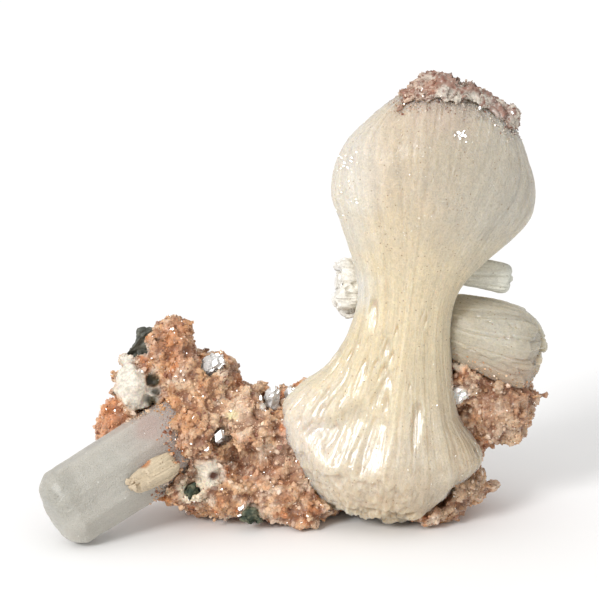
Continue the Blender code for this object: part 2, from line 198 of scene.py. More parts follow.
class Finish(Maker):
    """A material, with the nodes that most of them start from."""

    def __init__(self, name, **constants):
        self.material = bpy.data.materials.new(name)
        self.material.use_nodes = True
        super().__init__(self.material.node_tree)
        self.shader = self.tree.nodes["Principled BSDF"]
        for key, value in constants.items():
            self.shader.inputs[key.replace("_", " ")].default_value = value

    def scaled(self, vector, level):
        """A vector or a colour, times a number."""
        return self.add("ShaderNodeVectorMath", {"operation": "SCALE"}, {"Vector": vector, "Scale": level})

    def place(self, per_mm):
        """The place on the object, in a pattern that repeats so many times in a mm."""
        return self.scaled(self.add("ShaderNodeTexCoord", output=3), per_mm / MM)

    def stored(self, name, output=2):
        """A value that the mesh carries: output 0 is a colour, 1 a vector, 2 a number."""
        return self.add("ShaderNodeAttribute", {"attribute_name": name}, output=output)

    def noise(self, vector, detail=3.0):
        """Noise with one bump for each unit of the vector."""
        inputs = {"Vector": vector, "Scale": 1.0, "Detail": detail, "Roughness": 0.55}
        return self.add("ShaderNodeTexNoise", {}, inputs)

    def grains(self, per_mm, detail=3.0):
        return self.noise(self.place(per_mm), detail)

    def streaks(self, across, along):
        """Noise along the fibres that the mesh carries, with so many bumps in a mm each way."""
        inputs = {"Vector": self.stored("fibre", 1), "Scale": (across, across, along)}
        return self.noise(self.add("ShaderNodeMapping", {}, inputs))

    def cells(self, per_mm, output=0):
        """Cells of noise: output 0 is the distance from a cell's middle, 1 the cell's own colour."""
        return self.add("ShaderNodeTexVoronoi", {}, {"Vector": self.place(per_mm), "Scale": 1.0}, output)

    def mix(self, share, first, second):
        inputs = {"Factor_Float": share, "A_Color": first, "B_Color": second}
        return self.add("ShaderNodeMix", {"data_type": "RGBA"}, inputs, output=2)

    def join(self, **sockets):
        """Links values to the shader, by socket name."""
        for key, value in sockets.items():
            fill(self.tree, self.shader.inputs[key.replace("_", " ")], value)
        return self.material

    def bump(self, height, depth_mm, strength=1.0):
        """Fine relief, from a height between 0 and 1."""
        inputs = {"Height": height, "Distance": depth_mm * MM, "Strength": strength}
        return self.add("ShaderNodeBump", {}, inputs)


# %% [markdown]
# ## Points and paint
# The fine surfaces are worked out on arrays of points in mm. Each mesh carries a colour for every point, so
# that the crystals scattered on a crust take the colour of the crust below them. The colour starts from a
# soft pattern, and patches are laid over it, each round a pixel of the photograph that shows it.

# %% Points and paint
FRACTAL_FALL, FRACTAL_STEP = 0.9, 2.0
CELL_SPREAD, CELL_SHIFT = 9.7, Vector((0.3, 0.3, 0.3))  # give each cell of noise a height of its own
PIXEL_REACH = 2.5  # pixels within which a point counts as shown by a pixel
SOFT_PATCH = 3.8  # in mm: larger patches fade out softly
SHARP_CORE, SOFT_CORE = 0.6, 0.1  # the part of a patch's radius that it fills evenly
CORE_AND_RIM = 1.7
PATCH_WAVE, PATCH_RAGGED = 2.2, 0.35  # the size in mm and the strength of the waves in a patch's edge


def smooth(low, high, values):
    """0 below low, 1 above high, smooth between."""
    t = np.clip((values - low) / (high - low), 0.0, 1.0)
    return t * t * (3 - 2 * t)


def fade(low, high, values):
    """1 below low, 0 above high, smooth between."""
    return 1 - smooth(low, high, values)


def noise_at(points, size, seed=0.0, octaves=1):
    """Noise from -1 to 1 at each point, with bumps of the given size in mm."""
    scaled = points / size + seed
    if octaves == 1:
        return np.array([noise.noise(Vector(p)) for p in scaled])
    return np.array([noise.fractal(Vector(p), FRACTAL_FALL, FRACTAL_STEP, octaves) for p in scaled])


def grains_at(points, size, seed=0.0):
    """For each point, the height of its cell of noise, from -1 to 1, and how far the cell's edge is."""
    levels = np.zeros(len(points))
    edges = np.zeros(len(points))
    for i, p in enumerate(points / size + seed):
        near, centres = noise.voronoi(Vector(p))
        levels[i] = noise.cell(centres[0] * CELL_SPREAD + CELL_SHIFT) * 2 - 1
        edges[i] = near[1] - near[0]
    return levels, edges


def points_of(mesh):
    found = np.zeros(len(mesh.vertices) * 3)
    mesh.vertices.foreach_get("co", found)
    return found.reshape(-1, 3) / MM


def normals_of(mesh):
    found = np.zeros(len(mesh.vertices) * 3)
    mesh.vertices.foreach_get("normal", found)
    return found.reshape(-1, 3)


def move_points(mesh, points):
    mesh.vertices.foreach_set("co", np.ravel(points * MM))
    mesh.update()


def into_box(points):
    """Keeps points inside the box of the solids, which stands on the ground."""
    low, high = (np.array(corner) / MM for corner in CAD_BOX)
    low[2] = max(low[2], 0.0)
    return np.clip(points, low, high)


def store(mesh, name, kind, values):
    """Keeps one value for each point of the mesh, for its material to read."""
    field = {"FLOAT": "value", "FLOAT_VECTOR": "vector", "FLOAT_COLOR": "color"}[kind]
    if name in mesh.attributes:
        mesh.attributes.remove(mesh.attributes[name])
    mesh.attributes.new(name, kind, "POINT").data.foreach_set(field, np.ravel(values).astype(np.float32))


def spot_at(points, pixel):
    """The point nearest the camera, of those that a pixel of the photograph shows."""
    seen, away = pixels_of(points)
    off = np.hypot(*(seen - np.array(pixel)).T)
    reach = max(PIXEL_REACH, off.min() + 1.0)
    return points[np.where(off < reach, away, np.inf).argmin()]


def distance_to(points, pixel, ragged):
    """How far each point is from the spot that a pixel shows, with a wave that makes round edges ragged."""
    return np.linalg.norm(points - spot_at(points, pixel), axis=1) * (1 + ragged)


def laid_over(colours, other, share):
    return np.asarray(colours) * (1 - share[:, None]) + np.asarray(other) * share[:, None]


def paint(mesh, points, colours, marks, seed):
    """Lays patches over the colours. Each has a pixel, a radius in mm, a colour and a strength."""
    marked = np.zeros(len(points))
    ragged = PATCH_RAGGED * noise_at(points, PATCH_WAVE, seed)
    for pixel, radius, colour, strength in marks:
        core = SHARP_CORE if radius < SOFT_PATCH else SOFT_CORE
        away = distance_to(points, pixel, ragged)
        share = fade(radius * core, radius * (CORE_AND_RIM - core), away) * strength
        colours = laid_over(colours, colour, share)
        marked = np.maximum(marked, smooth(0.6, 0.95, share))
    store(mesh, "marked", "FLOAT", marked)
    store(mesh, "tint", "FLOAT_COLOR", np.concatenate([colours, np.ones((len(points), 1))], axis=1))


def new_object(name, mesh, material):
    made = bpy.data.objects.new(name, mesh)
    bpy.context.scene.collection.objects.link(made)
    mesh.materials.clear()
    mesh.materials.append(material)
    return made


def finished(name, mesh, material, slot, *nodes):
    """The object of a finished piece, which stands for these solids."""
    made = new_object(name, mesh, material)
    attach(made, "root")
    if nodes:
        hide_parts(*nodes)
    print(name, "triangles:", sum(len(face.vertices) - 2 for face in mesh.polygons))
    return made


# %% [markdown]
# ## The sheaves
# A sheaf is a bundle of blades, narrow at its waist. Its outline is a short table: the height along its axis
# and the reach to each side. A smooth curve through the table gives the bundle. The front of the bow-tie's
# foot flares a little more than its solid, so that its faces look up.

# %% Outlines of the sheaves
# Each row is in mm: the height, then the reach to the left, to the right, to the front and to the back.
SHEAF_ROWS = (
    (0.0, 0.0, 0.0, 0.0, 0.0), (0.9, 8.0, 4.6, 5.2, 4.6), (2.8, 13.2, 8.6, 8.8, 7.6),
    (5.8, 16.2, 11.8, 11.2, 9.2), (10.4, 19.0, 15.2, 12.6, 10.4), (14.6, 21.4, 18.0, 12.3, 10.4),
    (18.4, 22.9, 16.2, 11.3, 9.8), (22.4, 23.1, 12.6, 10.2, 9.2), (26.4, 20.0, 11.2, 9.3, 8.4),
    (30.2, 15.6, 10.3, 8.6, 7.6), (34.6, 12.8, 9.5, 8.2, 7.0), (39.0, 11.2, 8.9, 7.8, 6.8),
    (44.4, 10.4, 8.6, 7.8, 6.8), (49.4, 11.2, 9.8, 8.2, 7.4), (54.4, 13.2, 13.4, 9.2, 8.6),
    (59.8, 15.6, 18.4, 10.8, 10.2), (64.6, 17.8, 21.6, 12.0, 11.4), (70.0, 17.9, 21.8, 12.2, 11.6),
    (75.4, 16.1, 19.8, 11.4, 11.2), (80.2, 12.4, 17.2, 9.8, 9.8), (84.0, 8.6, 14.0, 7.8, 8.0),
    (86.8, 5.2, 9.4, 5.4, 5.6), (88.6, 2.6, 4.6, 3.0, 3.0), (89.2, 0.0, 0.0, 0.0, 0.0),
)
FAN_ROWS = (
    (0.0, 0.0, 0.0, 0.0, 0.0), (1.4, 4.4, 4.0, 3.8, 3.8), (6.0, 6.8, 6.0, 5.4, 5.2),
    (11.0, 7.7, 7.0, 7.4, 6.4), (16.0, 8.0, 7.8, 8.3, 7.4), (20.6, 7.6, 8.6, 8.2, 7.6),
    (23.8, 6.0, 8.8, 6.6, 6.2), (26.0, 3.4, 8.0, 3.6, 3.6), (27.0, 0.0, 0.0, 0.0, 0.0),
)
BLADE_ROWS = (
    (0.0, 0.0, 0.0, 0.0, 0.0), (0.6, 2.6, 1.6, 1.6, 1.6), (6.0, 3.7, 1.9, 2.2, 2.2),
    (10.0, 3.6, 2.4, 2.4, 2.4), (13.4, 3.2, 2.9, 2.4, 2.4), (14.9, 2.3, 2.0, 1.8, 1.8),
    (15.2, 0.0, 0.0, 0.0, 0.0),
)
SPRAY_ROWS = (
    (0.0, 0.0, 0.0, 0.0, 0.0), (0.8, 2.6, 2.6, 2.4, 2.4), (5.0, 4.4, 4.8, 3.8, 3.8),
    (8.6, 6.0, 6.4, 4.8, 4.8), (10.8, 4.2, 4.6, 3.6, 3.6), (11.5, 0.0, 0.0, 0.0, 0.0),
)
BUD_ROWS = (
    (0.0, 0.0, 0.0, 0.0, 0.0), (0.7, 2.3, 2.3, 2.1, 2.1), (3.0, 3.0, 2.8, 2.6, 2.5),
    (6.4, 2.6, 2.4, 2.3, 2.2), (9.4, 2.2, 1.9, 1.8, 1.8), (10.8, 1.2, 1.2, 1.1, 1.1),
    (11.3, 0.0, 0.0, 0.0, 0.0),
)


def smooth_rows(rows, shares):
    """The rows at shares of the way through the table, on a Catmull-Rom curve."""
    table = np.array(rows)
    last = len(table) - 1
    place = np.clip(shares, 0.0, 1.0) * last
    i = np.minimum(place.astype(int), last - 1)
    t = (place - i)[:, None]
    a, b, c, d = (table[np.clip(i + k, 0, last)] for k in (-1, 0, 1, 2))
    curve = 2 * b + (c - a) * t + (2 * a - 5 * b + 4 * c - d) * t**2 + (3 * b - a - 3 * c + d) * t**3
    return np.maximum(curve / 2, 0.0)


def frame_between(root, tip):
    """The matrix whose origin is the root, with Z to the tip and Y as near to the back as that allows."""
    along = (tip - root).normalized()
    across = Vector((0.0, 1.0, 0.0)).cross(along).normalized()
    turn = Matrix((across, along.cross(across), along)).transposed()
    return Matrix.Translation(root) @ turn.to_4x4()


# %% [markdown]
# The fibres of a sheaf fan out from its waist: each keeps its place across the bundle, times a spread that
# grows along the axis. Each blade is a strip between two fibres. Its face is flat and a little tilted, it
# stands a little higher or lower than its neighbours, and it ends in a point at its own height. Layers of
# such strips, broad and fine, give the steps that catch the light. Where the surface cuts across the fibres,
# it is made of the blades' ends, which are cells of uneven height. Some faces are cut flat where the
# photograph shows them flash, and at the front of the foot the blades end in a ledge, with a rough skirt set
# back below.

# %% Blades around a sheaf
STRIP_WIDTHS = (0.35, 1.65)
STRIP_EDGE = 0.14  # of a strip's width
STRIP_LEVEL, STRIP_TILT = 0.5, 0.6
SWAY = 0.02
END_SLOPE = 0.008  # this and the next four are shares of the outline
POINT_LENGTH = 0.03
LEDGE_SLOPE = 0.006
LEDGE_WAVES = ((5, 0.02), (17, 0.012))  # waves around the foot, and their depth
DOME_EDGE = 0.02
LEDGE_RISE = (185, 262)  # this and the next three are degrees around the bundle
SKIRT_START, SKIRT_END, SKIRT_AGAIN = (172, 190), (272, 284), (296, 310)
SIDE_POWER = 9  # how suddenly the fibres near a side follow the outline
PETAL_SPAN = 10.0  # in mm: the stretch in which petals are counted
PETAL_DEPTH = 0.04  # of the reach, in the creases between petals
CREASE_WIDTH = 0.24  # in units of the noise
FIBRE_DEPTH, FIBRE_LENGTH = 0.3, 0.05  # how the pattern is stretched to the back and along the fibres
FLAKE_DEPTHS, FLAKE_TURN = (0.04, 0.1), 7  # in mm and degrees


def turned_past(degrees, turns):
    """0 before the first of two angles, 1 after the second, smooth between."""
    return smooth(math.radians(degrees[0]), math.radians(degrees[1]), turns)


def strips(turn, share, count, seed, ends):
    """The relief of each point's strip, in units of the strip's thickness, and its tone."""
    draw = np.random.default_rng(seed)
    widths = draw.uniform(*STRIP_WIDTHS, count)
    edges = np.concatenate([[0.0], np.cumsum(widths)]) / widths.sum() * 2 * math.pi
    sway = np.zeros(len(turn))
    for wave in (1, 2, 3):
        phase = draw.uniform(0.0, 2 * math.pi, 2)
        sway += SWAY / wave * np.sin(wave * 2 * math.pi * share + phase[0] + wave * turn + phase[1])
    angle = (turn + sway) % (2 * math.pi)
    k = np.clip(np.searchsorted(edges, angle, side="right") - 1, 0, count - 1)
    t = (angle - edges[k]) / (edges[k + 1] - edges[k])
    level = draw.uniform(-STRIP_LEVEL, STRIP_LEVEL, count)[k]
    tilt = draw.uniform(-STRIP_TILT, STRIP_TILT, count)[k]
    point = POINT_LENGTH * np.abs(2 * t - 1)
    first = draw.uniform(*ends[0], count)[k] + point
    last = draw.uniform(*ends[1], count)[k] - point
    flat = smooth(0.0, STRIP_EDGE, np.minimum(t, 1 - t))
    here = smooth(0.0, END_SLOPE, share - first) * smooth(0.0, END_SLOPE, last - share)
    relief = (level + tilt * (t - 0.5)) * flat - 0.5 * (1 - flat)
    return relief * here - (1 - here), draw.uniform(0.0, 1.0, count)[k]


def cut_flat(points, root, axis, fan, cuts):
    """Cuts faces that flash: each has a pixel, a depth and a reach in mm, how many times longer it is along
    the fibres, and small turns of its normal."""
    pearl = np.zeros(len(points))
    waist, below, above = fan
    for pixel, depth, reach, longer, (turned, tipped) in cuts:
        spot = spot_at(points, pixel)
        facing = flash_normal(spot)
        facing.rotate(Euler((math.radians(tipped), 0.0, math.radians(turned))))
        outside = (points - spot) @ np.array(facing) + depth
        height = (spot - root) @ axis
        steep = (height - waist) / ((above if height > waist else below) ** 2 + (height - waist) ** 2)
        along = axis + (spot - root - axis * height) * steep
        along /= np.linalg.norm(along)
        off = points - spot
        off = off - np.outer(off @ along, along) * (1 - 1 / longer)
        near = fade(reach * 0.6, reach, np.linalg.norm(off, axis=1))
        points = points - np.outer(np.maximum(outside, 0.0) * near, np.array(facing))
        pearl = np.maximum(pearl, near * smooth(-0.4, 0.1, outside))
    return points, pearl


def flakes(count, box, reach, longer, seed):
    """Small cuts spread over a box of pixels."""
    draw = np.random.default_rng(seed)
    made = []
    for _ in range(count):
        pixel, depth, size = draw.uniform(box[:2], box[2:]), draw.uniform(*FLAKE_DEPTHS), draw.uniform(*reach)
        made.append((pixel, depth, size, longer, draw.uniform(-FLAKE_TURN, FLAKE_TURN, 2)))
    return tuple(made)


def sprinkled(count, box, sizes, seed):
    """Pixels at random in a box, each with a radius in mm."""
    draw = np.random.default_rng(seed)
    return tuple((draw.uniform(box[:2], box[2:]), draw.uniform(*sizes)) for _ in range(count))


def skirt_below(turns, shares, ledge, seed):
    """How much of each point is on the skirt, below the ends of the front blades."""
    front, rise = ledge
    line = front + rise * (1 - turned_past(LEDGE_RISE, turns))
    for waves, depth in LEDGE_WAVES:
        places = [(waves * math.cos(turn), waves * math.sin(turn), seed) for turn in turns]
        line = line + depth * np.array([noise.noise(Vector(place)) for place in places])
    sides = turned_past(SKIRT_START, turns)
    sides *= 1 - turned_past(SKIRT_END, turns) + turned_past(SKIRT_AGAIN, turns)
    return fade(-LEDGE_SLOPE, 0.0, shares - line) * sides * smooth(0.02, 0.07, shares)


def rings_mesh(name, points, around):
    """A closed surface from rings of points, with its first and last ring as poles."""
    body = points[around:-around]
    verts = np.concatenate([points[:1], body, points[-1:]])
    rings = len(body) // around
    first = 1 + np.arange((rings - 1) * around).reshape(rings - 1, around)
    right = np.roll(first, -1, axis=1)
    quads = np.stack([first, right, right + around, first + around], axis=-1).reshape(-1, 4).tolist()
    top = 1 + (rings - 1) * around
    for a in range(around):
        b = (a + 1) % around
        quads.append((0, 1 + b, 1 + a))
        quads.append((len(verts) - 1, top + a, top + b))
    mesh = bpy.data.meshes.new(name)
    mesh.from_pydata((verts * MM).tolist(), [], quads)
    return mesh


def sheaf(
    name, node, root, tip, rows, fan, petals, seed, grid, layers, ends, domes, lumps, colours,
    calm=((0.0, 1.0),), ledge=None, cuts=(), marks=(), thin=False,
):
    """One bundle of blades in place of its solid. Fan is its waist's height, and how soon it spreads below
    and above. Domes are the shares of the outline where the blades' ends show. Calm is the strength of the
    relief by height."""
    across_count, steps = grid
    shares = np.repeat(np.linspace(0.0, 1.0, steps + 1), across_count)
    turns = np.tile(np.linspace(0.0, 2 * math.pi, across_count, endpoint=False), steps + 1)
    height, left, right, front, back = smooth_rows(rows, shares).T
    cos, sin = np.cos(turns), np.sin(turns)
    waist, below, above = fan
    away = height - waist
    spread = np.sqrt(1 + (away / np.where(away > 0, above, below)) ** 2)
    low_dome, high_dome = domes[0], 1 - domes[1]
    body = smooth(low_dome - DOME_EDGE, low_dome, shares)
    dome = 1 - body * smooth(high_dome - DOME_EDGE, high_dome, 1 - shares)
    strength = np.interp(height, *zip(*calm))

    x = cos * np.where(cos > 0, right, left)
    y = sin * np.where(sin > 0, back, front)
    widest = np.where(cos > 0, (right / spread).max(), (left / spread).max())
    inner = np.abs(x) / spread / widest / np.maximum(np.abs(cos), 1e-6)
    across = np.clip(cos * (inner + (1 - inner) * np.abs(cos) ** SIDE_POWER), -1.0, 1.0)
    fibres = np.where(sin >= 0, np.arccos(across), 2 * math.pi - np.arccos(across))
    place = np.stack([across * widest, y / spread * FIBRE_DEPTH, away * FIBRE_LENGTH], axis=1)
    crease = np.abs(noise_at(place, PETAL_SPAN / petals, seed))
    shrink = 1.0 - PETAL_DEPTH * (1 - np.minimum(crease / CREASE_WIDTH, 1.0)) * strength * (1 - dome)
    turn = np.array(frame_between(root, tip).to_3x3())
    axis = turn[:, 2]
    base = np.stack([x * shrink, y * shrink, height], axis=1) @ turn.T + np.array(root)
    base, pearl = cut_flat(base, np.array(root), axis, fan, cuts)

    ring = base.reshape(steps + 1, across_count, 3)
    facing = np.cross(np.roll(ring, -1, axis=1) - np.roll(ring, 1, axis=1), np.gradient(ring, axis=0))
    facing /= np.maximum(np.linalg.norm(facing, axis=2, keepdims=True), 1e-9)
    facing[0], facing[-1] = -axis, axis

    relief = np.zeros(len(x))
    tone = np.zeros(len(x))
    side = smooth(0.3, 2.0, np.abs(y) + 3.0 * (np.abs(across) > 0.97))
    for order, (count, depth) in enumerate(layers):
        raised, level = strips(fibres, shares, count, int(seed) + order, ends)
        relief += raised * depth * side * (1 - dome) * strength
        tone += level / len(layers)
    relief += 0.07 * noise_at(base * (1.0, 1.0, 0.5), 0.9, seed) + 0.05 * noise_at(base, 0.5, seed)
    if ledge:
        skirt = skirt_below(fibres, shares, ledge, seed)
        rough = 0.75 + 0.6 * noise_at(base, 2.4, seed + 1.0, 2) + 0.35 * noise_at(base, 0.9, seed + 2.0)
        relief = relief * (1 - skirt) - rough * skirt
        pearl = pearl * (1 - skirt)
    ended = dome > 0.0
    size, depth = lumps
    flat_places = np.stack([x / size[0], y / size[1], np.zeros(len(x))], axis=1)
    levels, edges = grains_at(flat_places[ended], 1.0, seed)
    relief[ended] += (levels * 0.7 - fade(0.0, 0.3, edges) * 0.8) * depth * dome[ended]
    tone[ended] = tone[ended] * (1 - dome[ended]) + (levels + 1) / 2 * dome[ended]
    points = into_box(base + facing.reshape(-1, 3) * relief[:, None])

    mesh = rings_mesh(name, points, across_count)
    keep = np.r_[0, across_count : len(x) - across_count, len(x) - 1]
    store(mesh, "fibre", "FLOAT_VECTOR", place[keep])
    store(mesh, "tone", "FLOAT", tone[keep])
    store(mesh, "pearl", "FLOAT", pearl[keep])
    paint(mesh, points[keep], colours(points, height, shares)[keep], marks, seed)
    mesh.shade_smooth()
    return finished(name, mesh, THIN_STILBITE if thin else STILBITE, "stilbite", node)


# %% [markdown]
# ## Finish of the blades
# Stilbite is milky: light enters a blade, spreads, and comes out nearby, which subsurface scattering gives.
# Its colour is warm at the waist, where many blades lie over each other, and white to grey at the ends. A
# clear coat with a low roughness is the pearly shine of its flat faces. The streaks run along the fibres,
# because the noise is stretched in coordinates that the mesh carries.

# %% Stilbite


def stilbite(name, milky):
    """The finish of a bundle. Milky is how much light spreads inside it."""
    finish = Finish(
        name, Subsurface_Weight=milky, Subsurface_Scale=0.005, Subsurface_Radius=(1.0, 0.8, 0.55),
        Coat_Roughness=0.16, Coat_IOR=1.5, IOR=1.5,
    )
    streaks, fine = finish.streaks(1.1, 1.6), finish.streaks(4.5, 8.0)
    grain, clouds = finish.grains(3.4, 2.0), finish.grains(0.3)
    pearl = finish.stored("pearl")
    sugar = finish.add("ShaderNodeSeparateXYZ", {}, {"Vector": finish.cells(2.3, 1)})
    level = 1.0
    for pattern, contrast in (
        (streaks, 0.24), (fine, 0.24), (grain, 0.36), (clouds, 0.14), (sugar, 0.14),
        (finish.stored("tone"), 0.06),
    ):
        level = level + (pattern - 0.5) * contrast
    speck = finish.cells(0.85).below(0.09, 0.17) * clouds.above(0.4, 0.52)
    veins = fine.above(0.66, 0.74) * streaks.above(0.5, 0.6)
    body = finish.scaled(finish.stored("tint", 0), level)
    body = finish.mix(speck * 0.7, body, solid(0.30, 0.19, 0.11))
    rough = (grain * 0.6 + sugar * 0.7) * (1.0 - pearl * 0.8)
    return finish.join(
        Base_Color=finish.mix(veins * 0.25, body, solid(0.60, 0.46, 0.30)),
        Roughness=0.5 - sugar.above(0.75, 0.95) * 0.3 + (grain - 0.5) * 0.5 - pearl * 0.2,
        Coat_Weight=0.1 + pearl * (0.3 + fine.above(0.44, 0.54) * 0.6) + streaks.above(0.5, 0.75) * 0.15,
        Normal=finish.bump(rough + fine * 0.5 + streaks * 0.2, 0.26),
    )


STILBITE = stilbite("stilbite", 0.85)
THIN_STILBITE = stilbite("thin_stilbite", 0.0)

# %% The bow-tie
HEAD_WHITE = (0.65, 0.60, 0.52)
CORE_TAN = (0.60, 0.50, 0.37)
WAIST_CREAM = (0.70, 0.60, 0.42)
FOOT_CREAM = (0.68, 0.61, 0.49)
CORE_X = 24.0
WAIST_HEIGHT = 42.0
BOW_TIE_CALM = ((0.0, 0.9), (26.0, 0.8), (42.0, 0.5), (60.0, 0.35), (76.0, 0.4), (84.0, 0.9), (90.0, 0.9))
BIG_FLASHES = (
    ((342, 455), 0.9, 5.6, 2.3, (3, 0)), ((372, 455), 0.6, 3.8, 2.8, (-3, 2)),
    ((314, 446), 0.8, 4.4, 1.8, (5, -3)), ((420, 432), 0.35, 1.7, 4.5, (2, 0)),
    ((369, 320), 0.35, 1.6, 3.5, (0, 2)), ((460, 136), 0.12, 1.2, 1.0, (0, 0)),
    ((478, 452), 0.3, 1.6, 1.2, (10, 0)),
)
SMALL_FLASHES = (
    flakes(16, (334, 148, 352, 216), (0.4, 0.9), 1.0, 71)
    + flakes(26, (322, 350, 398, 446), (0.5, 1.1), 6.0, 77)
    + flakes(16, (292, 395, 345, 452), (0.5, 0.9), 6.0, 79)
    + flakes(10, (350, 310, 440, 400), (0.3, 0.5), 6.0, 73)
    + flakes(12, (345, 110, 500, 250), (0.2, 0.4), 2.5, 76)
)
# Some patches are painted shade. The two large grey ones on the right of the head darken the side away from
# the key light, and the large brown one at (390, 520) darkens the bottom of the foot.
BOW_TIE_PATCHES_AND_SHADE = (
    ((505, 200), 14.0, (0.48, 0.45, 0.38), 0.8), ((465, 132), 13.0, (0.52, 0.46, 0.36), 0.7),
    ((356, 285), 5.5, (0.70, 0.69, 0.64), 0.8), ((345, 200), 5.0, (0.70, 0.67, 0.60), 0.5),
    ((300, 430), 7.0, (0.76, 0.68, 0.60), 0.6), ((470, 400), 9.0, (0.57, 0.46, 0.32), 0.6),
    ((472, 448), 7.0, (0.50, 0.38, 0.25), 0.6), ((350, 240), 5.0, (0.66, 0.64, 0.57), 0.5),
    ((390, 520), 14.0, (0.52, 0.40, 0.27), 0.8), ((440, 95), 8.0, (0.56, 0.44, 0.36), 0.7),
)


def bow_tie_colours(points, height, shares):
    """Warm at the waist, whiter towards the edges of the head, and paler at the foot."""
    away = (height - WAIST_HEIGHT + noise_at(points, 9.0, 4.0) * 5.0) / 30.0
    head = laid_over(HEAD_WHITE, CORE_TAN, fade(5.0, 14.0, np.abs(points[:, 0] - CORE_X)))
    ends = np.where((height > WAIST_HEIGHT)[:, None], head, FOOT_CREAM)
    return laid_over(ends, WAIST_CREAM, fade(0.25, 1.0, np.abs(away)))


bow_tie = sheaf(
    "bow_tie", "main_sheaf", Vector((17.0, -6.0, 0.5)), Vector((26.4, -1.0, 89.6)), SHEAF_ROWS,
    fan=(43.0, 15.0, 14.0), petals=2.6, seed=3.0, grid=(440, 200), layers=((60, 0.3), (170, 0.2)),
    ends=((0.12, 0.15), (0.88, 0.97)), domes=(0.12, 0.965), lumps=((2.6, 1.6), 0.6), colours=bow_tie_colours,
    calm=BOW_TIE_CALM, ledge=(0.176, 0.045), cuts=BIG_FLASHES + SMALL_FLASHES, marks=BOW_TIE_PATCHES_AND_SHADE,
)

# %% [markdown]
# The four smaller sheaves are made the same way, with fewer blades. The side fan is greyer, and its lower
# edge takes a little of the crust's brown. The bud is a fat cream blade on the grey prism.

# %% Smaller sheaves
FAN_FLASHES = (((496, 362), 0.08, 0.6, 1.5, (4, 0)),) + flakes(14, (470, 300, 545, 370), (0.3, 0.8), 1.5, 74)
FAN_PATCHES = (
    ((525, 378), 5.0, (0.48, 0.37, 0.27), 0.8), ((470, 372), 5.0, (0.48, 0.37, 0.27), 0.7),
    ((495, 382), 5.0, (0.48, 0.36, 0.26), 0.8), ((500, 325), 6.0, (0.56, 0.53, 0.45), 0.6),
)
SPRAY_FLASHES = flakes(16, (330, 250, 362, 318), (0.6, 1.3), 1.5, 78)
BUD_STAIN = (((144, 461), 1.5, (0.55, 0.22, 0.08), 0.9),)


def turning(near, far):
    """A colour that changes to another towards the tip."""
    return lambda points, height, shares: laid_over(near, far, smooth(0.3, 0.95, shares))


side_fan = sheaf(
    "fan", "side_fan", Vector((23.0, 1.6, 40.4)), Vector((49.2, 0.0, 33.8)), FAN_ROWS,
    fan=(0.0, 12.0, 12.0), petals=2.0, seed=21.0, grid=(300, 120), layers=((22, 0.5), (70, 0.25)),
    ends=((0.0, 0.02), (0.6, 0.9)), domes=(0.02, 0.86), lumps=((1.8, 1.3), 0.7),
    colours=turning((0.46, 0.41, 0.31), (0.46, 0.42, 0.34)), calm=((0.0, 0.3), (14.0, 0.6), (27.0, 1.0)),
    cuts=FAN_FLASHES, marks=FAN_PATCHES,
)
sheaf(
    "cross_blade", "side_blade", Vector((27.0, 2.5, 49.6)), Vector((41.9, 1.5, 48.6)), BLADE_ROWS,
    fan=(0.0, 10.0, 10.0), petals=2.0, seed=33.0, grid=(160, 80), layers=((7, 0.5), (24, 0.25)),
    ends=((0.0, 0.02), (0.7, 0.95)), domes=(0.02, 0.9), lumps=((1.2, 0.9), 0.5),
    colours=turning((0.78, 0.76, 0.66), (0.74, 0.74, 0.65)), thin=True,
)
sheaf(
    "spray", "left_spray", Vector((18.0, 2.5, 46.6)), Vector((6.6, 4.5, 46.2)), SPRAY_ROWS,
    fan=(0.0, 7.0, 7.0), petals=3.0, seed=41.0, grid=(200, 90), layers=((11, 1.0), (40, 0.5)),
    ends=((0.0, 0.02), (0.45, 0.95)), domes=(0.02, 0.74), lumps=((2.6, 0.8), 0.7),
    colours=turning((0.82, 0.77, 0.66), (0.88, 0.86, 0.82)), cuts=SPRAY_FLASHES, thin=True,
)
bud = sheaf(
    "bud", "cream_bud", Vector((-24.6, -11.8, 15.2)), Vector((-33.2, -18.4, 12.0)), BUD_ROWS,
    fan=(0.0, 30.0, 30.0), petals=4.0, seed=57.0, grid=(160, 90), layers=((6, 0.7), (17, 0.3)),
    ends=((0.0, 0.02), (0.45, 0.95)), domes=(0.02, 0.75), lumps=((1.4, 1.1), 0.6),
    colours=turning((0.64, 0.53, 0.37), (0.62, 0.50, 0.35)), marks=BUD_STAIN, thin=True,
)

# %% [markdown]
# ## The crust
# The crust that carries everything is a mass of small crystals, grown in lumps with dark crevices between
# them. Its solid is remeshed into a fine even grid. Cells of noise raise grains on it, and holes are pressed
# in where the photograph shows them. Then thousands of separate little crystals are scattered over it.

# %% Crust surfaces
GRAIN = 2.4  # in mm, as the next two
LUMP = 4.4
BOTTOM = 0.8  # the crust has no crystals below this height
CRUST_CELL, CROWN_CELL = 0.5, 0.3
BARE_RELIEF = 0.25  # the share of its relief that a bare spot keeps


def solid_mesh(node):
    """A copy of a solid's mesh, with its loose triangles joined."""
    copy = bmesh.new()
    copy.from_mesh(NODES[node].data)
    bmesh.ops.remove_doubles(copy, verts=copy.verts, dist=1e-6)
    mesh = bpy.data.meshes.new(node + "_copy")
    copy.to_mesh(mesh)
    copy.free()
    return mesh


def evaluated(holder):
    """The mesh that an object's modifiers make. The object is removed."""
    mesh = bpy.data.meshes.new_from_object(holder.evaluated_get(bpy.context.evaluated_depsgraph_get()))
    bpy.data.objects.remove(holder)
    return mesh


def fine_mesh(node, cell):
    """A solid's surface as an even grid of cells of that size in mm."""
    holder = bpy.data.objects.new("cage", solid_mesh(node))
    bpy.context.scene.collection.objects.link(holder)
    voxels = holder.modifiers.new("voxels", "REMESH")
    voxels.mode = "VOXEL"
    voxels.voxel_size = cell * MM
    return evaluated(holder)


